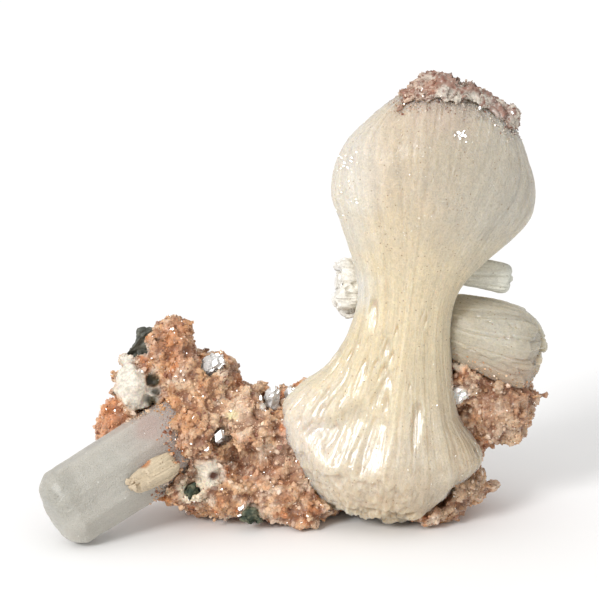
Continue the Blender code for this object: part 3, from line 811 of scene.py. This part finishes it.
def relaxed(mesh, times):
    """The mesh's points in mm, each moved to the middle of its neighbours a few times."""
    points = points_of(mesh)
    edges = np.zeros(len(mesh.edges) * 2, dtype=int)
    mesh.edges.foreach_get("vertices", edges)
    a, b = edges.reshape(-1, 2).T
    ends = np.r_[a, b]
    count = np.bincount(ends, minlength=len(points))
    for _ in range(times):
        others = points[np.r_[b, a]]
        total = np.stack([np.bincount(ends, others[:, k], len(points)) for k in range(3)], axis=1)
        points = (points + total / count[:, None]) / 2
    return points


def fine_surface(node, cell, times):
    """A solid's fine mesh, relaxed a few times, and its points in mm."""
    mesh = fine_mesh(node, cell)
    points = relaxed(mesh, times)
    move_points(mesh, points)
    return mesh, points


def raised(mesh, points, rise):
    """Moves each point along the mesh's normal there, inside the box."""
    moved = into_box(points + normals_of(mesh) * rise[:, None])
    move_points(mesh, moved)
    return moved


def gaps_to(points, *nodes):
    """How far each point is from these solids, in mm."""
    joined = bmesh.new()
    for node in nodes:
        joined.from_mesh(NODES[node].data)
    tree = BVHTree.FromBMesh(joined)
    joined.free()
    return np.array([tree.find_nearest(Vector(p) * MM)[3] / MM for p in points])


def crust(name, node, slot, cell, relief, sink, colours, marks, holes, bare, material, near, seed):
    """A crust surface in place of its solid. Holes are pixels with a radius in mm and a depth, bare spots are
    pixels with a radius. It sinks or rises where it meets the solids that are near."""
    mesh, points = fine_surface(node, cell, 4)
    levels, edges = grains_at(points + noise_at(points, 1.7, seed)[:, None] * 0.3, GRAIN, seed)
    broad = noise_at(points, 5.0, seed + 3.0, 3)
    lumps = grains_at(points + noise_at(points, 3.0, seed + 1.0)[:, None] * 1.2, LUMP, seed + 2.0)[1]
    rise = 0.45 * levels + 0.6 * smooth(0.0, 0.35, edges) + 0.9 * smooth(0.0, 0.3, lumps) - 1.4 + 0.9 * broad
    rise = rise * relief + 0.12 * noise_at(points, 0.8, seed + 5.0)
    deep = fade(-1.9 * relief, -0.2 * relief, rise)
    smoothed = np.zeros(len(points))
    for pixel, radius in bare:
        smoothed = np.maximum(smoothed, fade(radius * 0.7, radius, distance_to(points, pixel, 0.3 * broad)))
    rise *= 1 - (1 - BARE_RELIEF) * smoothed
    gap = gaps_to(points, *near)
    rise -= sink * fade(0.0, 1.5, gap)
    pressed = np.zeros(len(points))
    ragged = 0.6 * noise_at(points, 1.1, seed + 4.0)
    for pixel, radius, depth in holes:
        pressed = np.maximum(pressed, depth * fade(radius * 0.4, radius, distance_to(points, pixel, ragged)))
    moved = raised(mesh, points, rise - pressed)
    deep = np.maximum(deep, smooth(0.3, 0.8, pressed))
    store(mesh, "deep", "FLOAT", deep * (1 - smoothed))
    room = smooth(0.2, 0.7, gap) * (moved[:, 2] > BOTTOM) * (pressed < 0.05) * (smoothed < 0.4)
    store(mesh, "open", "FLOAT", room * (1 - 0.3 * deep))
    paint(mesh, moved, colours(moved), marks, seed)
    mesh.shade_smooth()
    return finished(name, mesh, material, slot, node)


# %% [markdown]
# ## Finish of the crust
# The crust is a translucent skin of grains, stained orange by iron. Crevices are darker and redder. The
# scattered crystals take the crust's colour where they grow, some stained and some nearly clear, and their
# smooth faces glint.

# %% Crust and crystal finishes


def stone(name, crevice_colour, pale, **constants):
    """A granular finish over the colours that the mesh carries."""
    finish = Finish(name, Subsurface_Radius=(1.0, 0.5, 0.3), Coat_Roughness=0.2, **constants)
    grain, spots = finish.grains(1.6), finish.grains(0.55)
    plain = 1.0 - finish.stored("marked")
    body = finish.scaled(finish.stored("tint", 0), 0.75 + grain.above(0.3, 0.7) * 0.4)
    body = finish.mix(spots.above(0.5, 0.72) * plain * 0.4, body, pale)
    # Crevices and pressed holes are darker and redder, by how deep they lie.
    body = finish.mix(finish.stored("deep").above(0.2, 0.95) * plain * 0.75, body, crevice_colour)
    dark = finish.cells(0.7).below(0.1, 0.2) * spots.above(0.42, 0.5) * plain
    body = finish.mix(dark * 0.7, body, solid(0.20, 0.06, 0.03))
    relief = finish.bump(finish.grains(3.0), 0.15, 0.8)
    return finish.join(Base_Color=body, Roughness=0.5 + (grain - 0.5) * 0.5, Normal=relief)


def crystal_finish():
    finish = Finish("small_crystals", Coat_Weight=0.7, Coat_Roughness=0.06, Coat_IOR=1.55, IOR=1.54)
    tone = finish.stored("tone")
    tint = finish.scaled(finish.stored("tint", 0), 0.7 + tone * 0.5)
    body = finish.mix(tone.above(0.75, 1.0) * 0.6, tint, solid(0.80, 0.68, 0.56))
    body = finish.mix(tone.below(0.04, 0.16) * 0.85, body, solid(0.22, 0.07, 0.035))
    grain = finish.grains(2.2)
    return finish.join(
        Base_Color=finish.scaled(body, 0.85 + grain * 0.3), Roughness=0.12 + grain * 0.35,
        Normal=finish.bump(finish.grains(4.0), 0.05, 0.4),
    )


CRUST = stone(
    "orange_crust", solid(0.24, 0.09, 0.04), solid(0.76, 0.58, 0.42),
    Subsurface_Weight=0.35, Subsurface_Scale=0.0012, Coat_Weight=0.25,
)
CROWN_CRUST = stone(
    "pink_crust", solid(0.26, 0.10, 0.06), solid(0.74, 0.62, 0.54),
    Subsurface_Weight=0.1, Subsurface_Scale=0.001, Coat_Weight=0.3,
)
SMALL_CRYSTALS = crystal_finish()

# %% [markdown]
# ## Scattered crystals
# Each little crystal is a closed solid with flat faces: a six-sided point, a slanted wedge or a thick plate.
# Geometry Nodes spreads points over the crust at no less than a spacing from each other, puts one of the
# three on each point with its own turn, size and tone, and makes them one plain mesh.

# %% Crystal shapes and the scatter
# Each shape has its rings, its number of sides and how flat it is. A ring has a height, a radius and a shift.
GRAINS = (
    ("sharp_grain", ((-0.6, 0.8, 0.0), (0.9, 0.0, 0.1)), 5, 0.9),
    ("slant_grain", ((-0.6, 0.8, 0.0), (0.9, 0.0, 0.5)), 4, 0.7),
    ("flat_grain", ((-0.6, 0.9, 0.0), (0.5, 0.7, 0.2)), 4, 0.8),
)
CRYSTALS = (
    ("point", ((-0.8, 0.75, 0.0), (0.6, 0.85, 0.0), (1.35, 0.0, 0.15)), 6, 0.9),
    ("wedge", ((-0.8, 1.0, 0.0), (0.3, 1.1, 0.1), (0.85, 0.5, 0.35)), 4, 0.7),
    ("plate", ((-0.5, 0.8, 0.0), (0.25, 1.15, 0.0), (0.5, 0.8, 0.1)), 5, 0.75),
)
DENSEST = 12e6  # crystals on a square metre
SPIN = 8.0  # radians, so that any turn about a crystal's own axis can come up
SMALL_SHARE = 2.2  # the power that makes most crystals small


def ringed(name, rings, sides, squash=1.0):
    """A closed crystal from rings of height, radius and sideways shift. Radius 0 closes it in a point."""
    shape = bmesh.new()
    last = None
    for height, radius, shift in rings:
        ring = []
        for k in range(sides if radius else 1):
            angle = 2 * math.pi * k / sides
            spot = (radius * math.cos(angle) + shift, radius * squash * math.sin(angle), height)
            ring.append(shape.verts.new(spot))
        if last is None:
            shape.faces.new(reversed(ring))
        else:
            for k in range(sides):
                n = (k + 1) % sides
                upper = (ring[n], ring[k]) if len(ring) > 1 else (ring[0],)
                shape.faces.new((last[k], last[n], *upper))
        last = ring
    if len(last) > 1:
        shape.faces.new(last)
    mesh = bpy.data.meshes.new(name)
    shape.to_mesh(mesh)
    shape.free()
    return mesh


def scatter_tree(shapes, material):
    """The nodes that scatter crystals over a mesh that carries how open each point is to them."""
    tree = bpy.data.node_groups.new("crystals", "GeometryNodeTree")
    make = Maker(tree)
    tree.interface.new_socket("Geometry", in_out="INPUT", socket_type="NodeSocketGeometry")
    for name in ("Spacing", "Smallest", "Largest", "Tilt", "Spin"):
        tree.interface.new_socket(name, in_out="INPUT", socket_type="NodeSocketFloat")
    tree.interface.new_socket("Seed", in_out="INPUT", socket_type="NodeSocketInt")
    tree.interface.new_socket("Geometry", in_out="OUTPUT", socket_type="NodeSocketGeometry")
    group = tree.nodes.new("NodeGroupInput")
    base, spacing, smallest, largest, tilt, spin, seed = (Value(tree, socket) for socket in group.outputs[:7])

    def chance(kind, low, high, step, suffix, output):
        """A random value for each crystal."""
        inputs = {"Min" + suffix: low, "Max" + suffix: high, "Seed": seed + step}
        return make.add("FunctionNodeRandomValue", {"data_type": kind}, inputs, output)

    room = make.add("GeometryNodeInputNamedAttribute", {"data_type": "FLOAT"}, {"Name": "open"})
    spread = make.add(
        "GeometryNodeDistributePointsOnFaces", {"distribute_method": "POISSON"},
        {"Mesh": base, "Distance Min": spacing, "Density Max": DENSEST, "Density Factor": room, "Seed": seed},
    )
    upright = Value(tree, spread.socket.node.outputs["Rotation"])
    most = make.add("ShaderNodeCombineXYZ", {}, {"X": tilt, "Y": tilt, "Z": spin})
    leaning = make.add(
        "ShaderNodeVectorMath", {"operation": "MULTIPLY"},
        {0: chance("FLOAT_VECTOR", (-1.0, -1.0, -1.0), (1.0, 1.0, 1.0), 1, "", 0), 1: most},
    )
    leaning = make.add("FunctionNodeEulerToRotation", {}, {"Euler": leaning})
    turned = make.add(
        "FunctionNodeRotateRotation", {"rotation_space": "LOCAL"},
        {"Rotation": upright, "Rotate By": leaning},
    )
    joined = tree.nodes.new("GeometryNodeJoinGeometry")
    for shape in shapes:
        piece = make.add("GeometryNodeObjectInfo", {}, {"Object": shape, "As Instance": True}, output=4)
        tree.links.new(piece.socket, joined.inputs[0])
    size = chance("FLOAT", 0.0, 1.0, 2, "_001", 1)
    placed = make.add(
        "GeometryNodeInstanceOnPoints", {},
        {"Points": spread, "Instance": Value(tree, joined.outputs[0]), "Pick Instance": True,
         "Instance Index": chance("INT", 0, len(shapes) - 1, 3, "_002", 2), "Rotation": turned,
         "Scale": smallest + (largest - smallest) * size.math("POWER", size, SMALL_SHARE)},
    )
    toned = make.add(
        "GeometryNodeStoreNamedAttribute", {"data_type": "FLOAT", "domain": "INSTANCE"},
        {"Geometry": placed, "Name": "tone", "Value": chance("FLOAT", 0.0, 1.0, 4, "_001", 1)},
    )
    real = make.add("GeometryNodeRealizeInstances", {}, {"Geometry": toned})
    painted = make.add("GeometryNodeSetMaterial", {}, {"Geometry": real, "Material": material})
    out = tree.nodes.new("NodeGroupOutput")
    tree.links.new(painted.socket, out.inputs[0])
    return tree


def scattered(name, base, slot, shapes, spacing, sizes, tilt, seed):
    """Crystals over a mesh, as a piece of their own. Sizes and spacing are in mm."""
    made = []
    for shape, rings, sides, squash in shapes:
        made.append(new_object(shape, ringed(shape, rings, sides, squash), SMALL_CRYSTALS))
    tree = scatter_tree(made, SMALL_CRYSTALS)
    holder = bpy.data.objects.new("scatter", base.copy())
    bpy.context.scene.collection.objects.link(holder)
    nodes = holder.modifiers.new("crystals", "NODES")
    nodes.node_group = tree
    values = {
        "Spacing": spacing * MM, "Smallest": sizes[0] * MM, "Largest": sizes[1] * MM,
        "Tilt": tilt, "Spin": SPIN, "Seed": seed,
    }
    for socket in tree.interface.items_tree:
        if socket.in_out == "INPUT" and socket.name in values:
            nodes[socket.identifier] = values[socket.name]
    mesh = evaluated(holder)
    for shape in made:
        bpy.data.objects.remove(shape)
    bpy.data.node_groups.remove(tree)
    move_points(mesh, into_box(points_of(mesh)))
    mesh.shade_flat()
    return finished(name, mesh, SMALL_CRYSTALS, slot)


# %% The crust below
PEACH, ORANGE, TAN = (0.68, 0.39, 0.20), (0.58, 0.22, 0.08), (0.77, 0.55, 0.36)
BROWN, GREY, SPECK = (0.34, 0.16, 0.08), (0.68, 0.54, 0.42), (0.20, 0.07, 0.04)
CHALK = (0.76, 0.70, 0.60)
CRUST_NEAR = (
    "main_sheaf", "side_fan", "grey_prism", "cream_bud", "basalt_chip",
    "celadonite_upper", "celadonite_lower",
)
WHITE_PATCH = (
    ((132, 384), 3.7), ((126, 392), 3.4), ((138, 376), 3.4), ((136, 392), 3.4), ((146, 398), 3.6),
    ((124, 368), 3.0), ((121, 380), 3.0), ((134, 402), 2.4), ((126, 358), 2.2),
)
# The near-black and dark brown patches over the pressed holes are painted shade. The dark one at (258, 411),
# beside the white shard at (265, 405), is a painted shadow.
CRUST_PATCHES_AND_SHADE = (
    ((172, 340), 6.0, (0.56, 0.22, 0.08), 0.8), ((146, 350), 1.8, (0.84, 0.72, 0.60), 0.8),
    *((pixel, radius, CHALK, 1.0) for pixel, radius in WHITE_PATCH),
    ((106, 418), 5.5, (0.74, 0.29, 0.11), 0.85), ((105, 400), 3.0, (0.74, 0.42, 0.28), 0.6),
    ((97, 432), 3.0, (0.72, 0.40, 0.24), 0.6), ((188, 412), 6.0, (0.62, 0.30, 0.13), 0.8),
    ((240, 415), 6.0, (0.86, 0.63, 0.44), 0.7), ((233, 418), 1.2, (0.90, 0.80, 0.46), 0.8),
    ((208, 474), 3.4, (0.78, 0.70, 0.58), 1.0), ((193, 493), 3.6, (0.84, 0.72, 0.54), 0.9),
    ((251, 514), 3.2, (0.78, 0.64, 0.50), 0.8), ((280, 470), 7.0, (0.66, 0.42, 0.27), 0.6),
    ((292, 440), 3.0, (0.74, 0.48, 0.36), 0.6), ((500, 410), 9.0, (0.47, 0.31, 0.20), 0.75),
    ((468, 488), 7.0, (0.35, 0.23, 0.14), 0.85), ((459, 362), 2.5, (0.80, 0.66, 0.52), 0.9),
    ((459, 397), 2.4, (0.95, 0.92, 0.87), 1.0), ((159, 500), 2.8, (0.64, 0.26, 0.08), 0.9),
    ((258, 411), 1.2, (0.20, 0.09, 0.04), 0.9), ((265, 405), 1.1, (0.88, 0.82, 0.74), 1.0),
    ((200, 440), 1.5, (0.30, 0.12, 0.06), 0.8), ((250, 450), 1.6, (0.30, 0.11, 0.05), 0.8),
    ((221, 438), 2.4, (0.78, 0.62, 0.50), 0.9), ((285, 500), 2.0, (0.40, 0.16, 0.06), 0.8),
    ((154, 379), 1.9, (0.05, 0.04, 0.015), 1.0), ((154, 390), 1.1, (0.04, 0.03, 0.012), 1.0),
    ((150, 401), 1.6, (0.05, 0.04, 0.015), 1.0), ((215, 474), 1.3, (0.10, 0.03, 0.012), 1.0),
)
CRUST_HOLES = (
    ((154, 379), 1.9, 1.1), ((154, 390), 1.1, 0.7), ((150, 401), 1.5, 1.0), ((215, 474), 1.3, 1.0),
    ((257, 412), 1.2, 1.0), ((193, 493), 2.8, 0.7), ((251, 514), 2.6, 0.5), ((200, 440), 1.4, 1.0),
    ((250, 450), 1.6, 1.0),
)
CRUST_BARE = (
    ((132, 384), 5.4), ((146, 398), 3.2), ((124, 368), 2.6), ((121, 380), 2.6), ((126, 358), 1.8),
    ((208, 474), 2.8), ((458, 398), 2.2), ((234, 356), 2.4),
)


def crust_colours(points):
    """Peach, with orange stains, tan and grey lumps and brown pockets."""
    colours = laid_over(PEACH, ORANGE, smooth(0.0, 0.3, noise_at(points, 5.0, 11.0, 2)))
    colours = laid_over(colours, TAN, 0.9 * smooth(0.0, 0.3, noise_at(points, 4.0, 17.0, 2)))
    colours = laid_over(colours, GREY, 0.8 * smooth(0.15, 0.4, noise_at(points, 3.4, 29.0, 2)))
    colours = laid_over(colours, BROWN, 0.85 * smooth(0.15, 0.45, noise_at(points, 2.8, 23.0, 2)))
    return laid_over(colours, SPECK, 0.8 * smooth(0.3, 0.45, noise_at(points, 0.9, 37.0)))


matrix_crust = crust(
    "crust", "matrix", "druse", CRUST_CELL, relief=0.6, sink=-0.8, colours=crust_colours, marks=CRUST_PATCHES_AND_SHADE,
    holes=CRUST_HOLES, bare=CRUST_BARE, material=CRUST, near=CRUST_NEAR, seed=2.0,
)
scattered("crust_crystals", matrix_crust.data, "druse", CRYSTALS, 1.3, (0.25, 0.75), 0.7, 5)
scattered("crust_grains", matrix_crust.data, "druse", GRAINS, 0.42, (0.14, 0.37), 0.8, 31)

# %% [markdown]
# The crust does not stop in a line where a sheaf begins: its grains creep a little way over the blades. So
# the same grains are scattered on the sheaves, thinning out away from the crust. A few flat crystals lie just
# so that they mirror the key light, and their near-white colour adds a painted glint, so they show as white
# sparks.

# %% Grains over the blades, and sparks
SMALL_GRAINS = (0.14, 0.4)
SPARK_RINGS = ((-1.4, 0.7, 0.0), (0.2, 1.0, 0.2), (0.3, 0.9, 0.25))
SPARK_SQUASH = 0.62
SPARK_LEAN = 2  # degrees
SPARK_SPIN = 6.3  # radians
HEAD_SPARKS = (
    sprinkled(22, (332, 150, 356, 218), (0.08, 0.3), 81)
    + sprinkled(9, (454, 130, 467, 142), (0.2, 0.5), 82)
)
FINE_SPARKS = (
    sprinkled(60, (345, 110, 510, 300), (0.06, 0.13), 83)
    + sprinkled(60, (300, 360, 480, 500), (0.06, 0.15), 84)
)
CRUST_SPARKS = (
    ((221, 436), 0.85), ((207, 451), 0.5), ((240, 510), 0.8), ((240, 517), 0.6), ((172, 328), 0.5),
    ((457, 392), 0.9), ((459, 401), 0.8), ((463, 396), 0.7), ((224, 490), 0.3), ((233, 462), 0.3),
    ((188, 352), 0.3), ((262, 400), 0.6), ((180, 372), 0.25), ((205, 395), 0.3), ((290, 388), 0.4),
)


def dusted(name, base, node, reach, share, spacing, sizes, colours, slot, seed):
    """Grains on a piece where the crust's solid is within reach, in mm."""
    mesh = base.data.copy()
    points = points_of(mesh)
    gap = gaps_to(points, node) + 0.5 * noise_at(points, 1.5, 3.0)
    store(mesh, "open", "FLOAT", share * fade(reach * 0.2, reach, gap))
    paint(mesh, points, colours(points), (), seed)
    scattered(name, mesh, slot, GRAINS, spacing, sizes, 0.8, seed)


def sparks(name, base, slot, spots, count, seed):
    """Crystals that mirror the key light: at pixels with a radius in mm, and some more at random."""
    draw = np.random.default_rng(seed)
    points = points_of(base)
    seen = points[(normals_of(base) @ np.array(to_camera) > 0.3) & (points[:, 2] > 2.0)]
    places = [(spot_at(points, pixel), radius) for pixel, radius in spots]
    places += [(seen[draw.integers(len(seen))], 0.12 + 0.2 * draw.uniform() ** 3) for _ in range(count)]
    joined = bmesh.new()
    plates = [ringed("spark", SPARK_RINGS, sides, SPARK_SQUASH) for sides in (4, 5, 7)]
    for place, radius in places:
        normal = flash_normal(place)
        normal.rotate(Euler(np.radians(draw.uniform(-SPARK_LEAN, SPARK_LEAN, 3))))
        turn = normal.to_track_quat("Z", "Y").to_matrix().to_4x4()
        turn = turn @ Matrix.Rotation(draw.uniform(0, SPARK_SPIN), 4, "Z")
        copy = plates[draw.integers(len(plates))].copy()
        copy.transform(Matrix.Translation(Vector(place) * MM) @ turn @ Matrix.Scale(radius * MM, 4))
        joined.from_mesh(copy)
        bpy.data.meshes.remove(copy)
    mesh = bpy.data.meshes.new(name)
    joined.to_mesh(mesh)
    joined.free()
    move_points(mesh, into_box(points_of(mesh)))
    mesh.shade_flat()
    return finished(name, mesh, SPARK, slot)


def spark_finish():
    finish = Finish("spark", Coat_Weight=1.0, Coat_Roughness=0.1, Coat_IOR=1.6, IOR=1.54)
    veil = finish.grains(1.5)
    # The near-white base colour is a painted glint, on top of the real mirror of the key light by the turned
    # faces.
    white = finish.mix(veil, solid(0.86, 0.84, 0.80), solid(0.94, 0.93, 0.91))
    return finish.join(Base_Color=white, Roughness=0.15 + veil * 0.2)


SPARK = spark_finish()
sparks("bow_tie_sparks", bow_tie.data, "stilbite", HEAD_SPARKS + FINE_SPARKS, 0, 85)
dusted("foot_grains", bow_tie, "matrix", 1.6, 0.9, 0.5, SMALL_GRAINS, crust_colours, "druse", 41)
dusted("fan_grains", side_fan, "matrix", 4.4, 0.7, 0.5, (0.14, 0.45), crust_colours, "druse", 42)
sparks("crust_sparks", matrix_crust.data, "druse", CRUST_SPARKS, 150, 51)

# %% The crown
CROWN_GREY, CROWN_BROWN = (0.60, 0.54, 0.46), (0.58, 0.36, 0.24)
CROWN_PATCHES = (
    ((430, 82), 2.5, (0.46, 0.22, 0.13), 0.6), ((500, 108), 3.0, (0.46, 0.34, 0.30), 0.6),
)
CROWN_SPARKS = (((510, 112), 0.4), ((472, 110), 0.4))


def crown_colours(points):
    """Pink-grey, browner at its left end, with dark pockets."""
    colours = laid_over(CROWN_GREY, CROWN_BROWN, fade(20.0, 28.0, points[:, 0]) * 0.7)
    return laid_over(colours, SPECK, 0.9 * smooth(0.2, 0.35, noise_at(points, 1.0, 23.0)))


crown_crust = crust(
    "crown", "crown_druse", "crown_druse", CROWN_CELL, relief=0.5, sink=0.4, colours=crown_colours,
    marks=CROWN_PATCHES, holes=(), bare=(), material=CROWN_CRUST, near=("main_sheaf",), seed=8.0,
)
scattered("crown_crystals", crown_crust.data, "crown_druse", GRAINS, 0.28, SMALL_GRAINS, 0.7, 9)
dusted("crown_grains", bow_tie, "crown_druse", 2.8, 1.0, 0.32, SMALL_GRAINS, crown_colours, "crown_druse", 43)
sparks("crown_sparks", crown_crust.data, "crown_druse", CROWN_SPARKS, 12, 52)

# %% [markdown]
# ## The grey prism
# The thick prism is frosted: its faces are etched and lined along their length, and light goes a little way
# in. Its free end is worn round. Its root takes some lilac and brown from the crust, whose grains grow
# over it.

# %% The prism
PRISM_ROOT = np.array((-21.8, -2.9, 18.7))
PRISM_TIP = np.array((-45.6, -18.1, 7.6))
PRISM_CELL = 0.34
ROOT_GREY, TIP_GREY = (0.44, 0.37, 0.33), (0.47, 0.45, 0.40)
PRISM_PATCHES = (
    ((90, 440), 2.6, (0.38, 0.35, 0.32), 0.5), ((150, 425), 3.0, (0.46, 0.33, 0.29), 0.5),
    ((50, 500), 6.0, (0.34, 0.33, 0.29), 0.8), ((120, 500), 5.0, (0.52, 0.50, 0.45), 0.7),
    ((92, 520), 4.0, (0.50, 0.48, 0.43), 0.7),
)


def frosted():
    finish = Finish(
        "frosted_prism", Subsurface_Weight=0.6, Subsurface_Scale=0.004, Subsurface_Radius=(1.0, 0.9, 0.8),
        Coat_Weight=0.25, Coat_Roughness=0.25, IOR=1.5,
    )
    lines, silk = finish.streaks(1.4, 0.12), finish.streaks(3.0, 0.5)
    grain = finish.grains(3.6, 2.0)
    level = 0.65 + lines * 0.2 + finish.grains(0.5) * 0.14 + grain * 0.34 + silk * 0.16
    body = finish.scaled(finish.stored("tint", 0), level)
    body = finish.mix(finish.cells(1.1).below(0.05, 0.14) * 0.5, body, solid(0.27, 0.22, 0.19))
    # The small near-white dots mixed into the base colour are painted glints.
    return finish.join(
        Base_Color=finish.mix(finish.cells(0.3).below(0.03, 0.06) * 0.7, body, solid(0.90, 0.89, 0.86)),
        Roughness=0.45 + (grain - 0.5) * 0.5,
        Normal=finish.bump(lines * 0.5 + silk * 0.4 + grain * 0.8, 0.4),
    )


def prism():
    mesh, points = fine_surface("grey_prism", PRISM_CELL, 1)
    axis = (PRISM_TIP - PRISM_ROOT) / np.linalg.norm(PRISM_TIP - PRISM_ROOT)
    across = np.array(Vector((0.0, 1.0, 0.0)).cross(Vector(axis)).normalized())
    sides = np.stack([across, np.cross(axis, across), axis], axis=1)
    place = (points - PRISM_ROOT) @ sides
    along = place[:, 2]
    lines = noise_at(place * (1.0, 1.0, 0.06), 0.9, 3.0)
    worn = noise_at(points, 2.4, 6.0, 2) * smooth(22.0, 29.0, along)
    relief = 0.07 * lines + 0.16 * worn + 0.1 * noise_at(points, 4.5, 9.0) - 0.15
    moved = raised(mesh, points, relief)
    store(mesh, "fibre", "FLOAT_VECTOR", place)
    paint(mesh, moved, laid_over(ROOT_GREY, TIP_GREY, smooth(3.0, 20.0, along)), PRISM_PATCHES, 4.0)
    mesh.shade_smooth()
    return finished("prism", mesh, frosted(), "grey_stilbite", "grey_prism")


grey_prism = prism()
dusted("prism_grains", grey_prism, "matrix", 3.6, 1.0, 0.5, (0.2, 0.65), crust_colours, "druse", 44)
dusted("bud_grains", bud, "matrix", 2.6, 1.0, 0.5, (0.2, 0.6), crust_colours, "druse", 45)

# %% [markdown]
# ## Chips in the crust
# A black-green chip of the basalt that the crystals grew in sits at the top left. Two small green nodules of
# celadonite show below, each in a thin pale rim. Their solids are remeshed and roughened.

# %% Basalt and celadonite
CHIP_CELL = 0.22


def dark_stone(name, first, second, per_mm, rough):
    finish = Finish(name, Coat_Weight=0.15, Coat_Roughness=0.3)
    fine = finish.grains(per_mm * 5)
    body = finish.mix(finish.grains(per_mm).above(0.4, 0.62), first, second)
    return finish.join(
        Base_Color=finish.scaled(body, 0.7 + fine * 0.6), Roughness=rough + (fine - 0.5) * 0.5,
        Normal=finish.bump(fine, 0.2),
    )


def chip(name, node, slot, size, relief, lean, grown, material, seed):
    """A chip in place of its solid, leant to the right and grown by some shares of its size."""
    mesh, points = fine_surface(node, CHIP_CELL, 2)
    points += (points - points.mean(axis=0)) * grown
    move_points(mesh, points)
    levels, edges = grains_at(points, size, seed)
    rise = relief * (0.7 * levels + 0.6 * smooth(0.0, 0.3, edges) - 1.1) + 0.06 * noise_at(points, 0.6, seed)
    points[:, 0] += lean * (points[:, 2] - points[:, 2].mean())
    raised(mesh, points, rise)
    mesh.shade_smooth()
    return finished(name, mesh, material, slot, node)


BASALT = dark_stone("basalt", solid(0.060, 0.064, 0.050), solid(0.14, 0.14, 0.11), 0.5, 0.5)
CELADONITE = dark_stone("celadonite", solid(0.035, 0.055, 0.032), solid(0.15, 0.15, 0.09), 0.8, 0.55)
chip("basalt", "basalt_chip", "basalt", 2.6, 0.15, 0.4, 0.0, BASALT, 12.0)
for place, seed in (("upper", 14.0), ("lower", 16.0)):
    chip(place + "_celadonite", "celadonite_" + place, "celadonite", 1.3, 0.3, 0.0, 0.25, CELADONITE, seed)

# %% [markdown]
# ## Clear crystals
# A few larger crystals on the crust are nearly clear. Their faces are broken into small flat ones, and plain
# transmission lets light through under white veils. Sparks stand on the faces that flash in the photograph.

# %% Clear crystals
CLEAR_CELL = 0.3
CLEAR_SPARKS = {
    "peak": (
        ((215, 360), 1.0), ((221, 368), 0.9), ((214, 371), 0.7), ((223, 358), 0.7), ((218, 354), 0.6),
        ((225, 364), 0.5),
    ),
    "shoulder": (((221, 436), 1.4), ((226, 432), 0.7), ((217, 441), 0.7)),
    "saddle": (((274, 386), 0.8), ((279, 392), 0.7), ((272, 393), 0.5), ((277, 384), 0.5)),
    "foot": (((290, 388), 0.7), ((297, 386), 0.5), ((293, 392), 0.4)),
}


def clear():
    finish = Finish(
        "clear_crystal", Transmission_Weight=0.4, IOR=1.4, Coat_Weight=1.0, Coat_Roughness=0.06, Coat_IOR=1.6,
    )
    veil = finish.grains(0.9)
    return finish.join(
        Base_Color=finish.mix(veil.above(0.35, 0.7), solid(0.98, 0.97, 0.96), solid(0.93, 0.91, 0.88)),
        Roughness=0.06 + veil * 0.3, Normal=finish.bump(finish.grains(2.0), 0.06, 0.5),
    )


def broken(name, node):
    """A clear crystal, whose faces are broken into small flat ones."""
    mesh, points = fine_surface(node, CLEAR_CELL, 1)
    relief = 0.22 * grains_at(points, 1.3, 4.0)[0] + 0.08 * noise_at(points, 0.7, 2.0) - 0.2
    raised(mesh, points, relief)
    mesh.shade_flat()
    return finished(name, mesh, CLEAR, "clear_crystal", node)


CLEAR = clear()
for place, spots in CLEAR_SPARKS.items():
    crystal = broken("clear_" + place, "clear_crystal_" + place)
    sparks("spark_" + place, crystal.data, "clear_crystal", spots, 0, 61)

# %% [markdown]
# ## Light and floor
# The piece stands on white card under a wide, soft sky. A softened key light from the front left models the
# blades, and a very wide one from above fills the hollows. The card is exposed to white, so that only a faint
# shadow shows where the stone touches it.

# %% Light and floor
KEY_STRENGTH, KEY_WIDTH = 1.8, math.radians(17.0)
TOP_STRENGTH, TOP_WIDTH = 1.2, math.radians(120.0)
TO_TOP = Vector((-0.2, -0.2, 1.0)).normalized()
SKY_LEVEL, SKY_COLOUR = 0.48, solid(1.0, 0.99, 0.98)
FLOOR_HALF, FLOOR_DROP = 4.0, 0.0001
CARD_WHITE = (0.95, 0.95, 0.95)


def sun(name, direction, strength, width):
    light = bpy.data.lights.new(name, "SUN")
    light.energy = strength
    light.angle = width
    made = bpy.data.objects.new(name, light)
    made.rotation_mode = "QUATERNION"
    made.rotation_quaternion = direction.to_track_quat("Z", "Y")
    bpy.context.scene.collection.objects.link(made)


sun("key", to_key, KEY_STRENGTH, KEY_WIDTH)
sun("top", TO_TOP, TOP_STRENGTH, TOP_WIDTH)
world = bpy.data.worlds.new("sky")
world.use_nodes = True
world.node_tree.nodes["Background"].inputs["Color"].default_value = SKY_COLOUR
world.node_tree.nodes["Background"].inputs["Strength"].default_value = SKY_LEVEL
bpy.context.scene.world = world
bpy.context.scene.view_settings.view_transform = "Standard"

card = Finish("white_card", Roughness=0.7, Specular_IOR_Level=0.2)
card.join(Base_Color=card.scaled(CARD_WHITE, 0.98 + card.grains(0.02) * 0.04))
floor_mesh = bpy.data.meshes.new("floor")
corners = [(x * FLOOR_HALF, y * FLOOR_HALF, -FLOOR_DROP) for x, y in ((-1, -1), (1, -1), (1, 1), (-1, 1))]
floor_mesh.from_pydata(corners, [], [(0, 1, 2, 3)])
new_object("floor", floor_mesh, card.material)
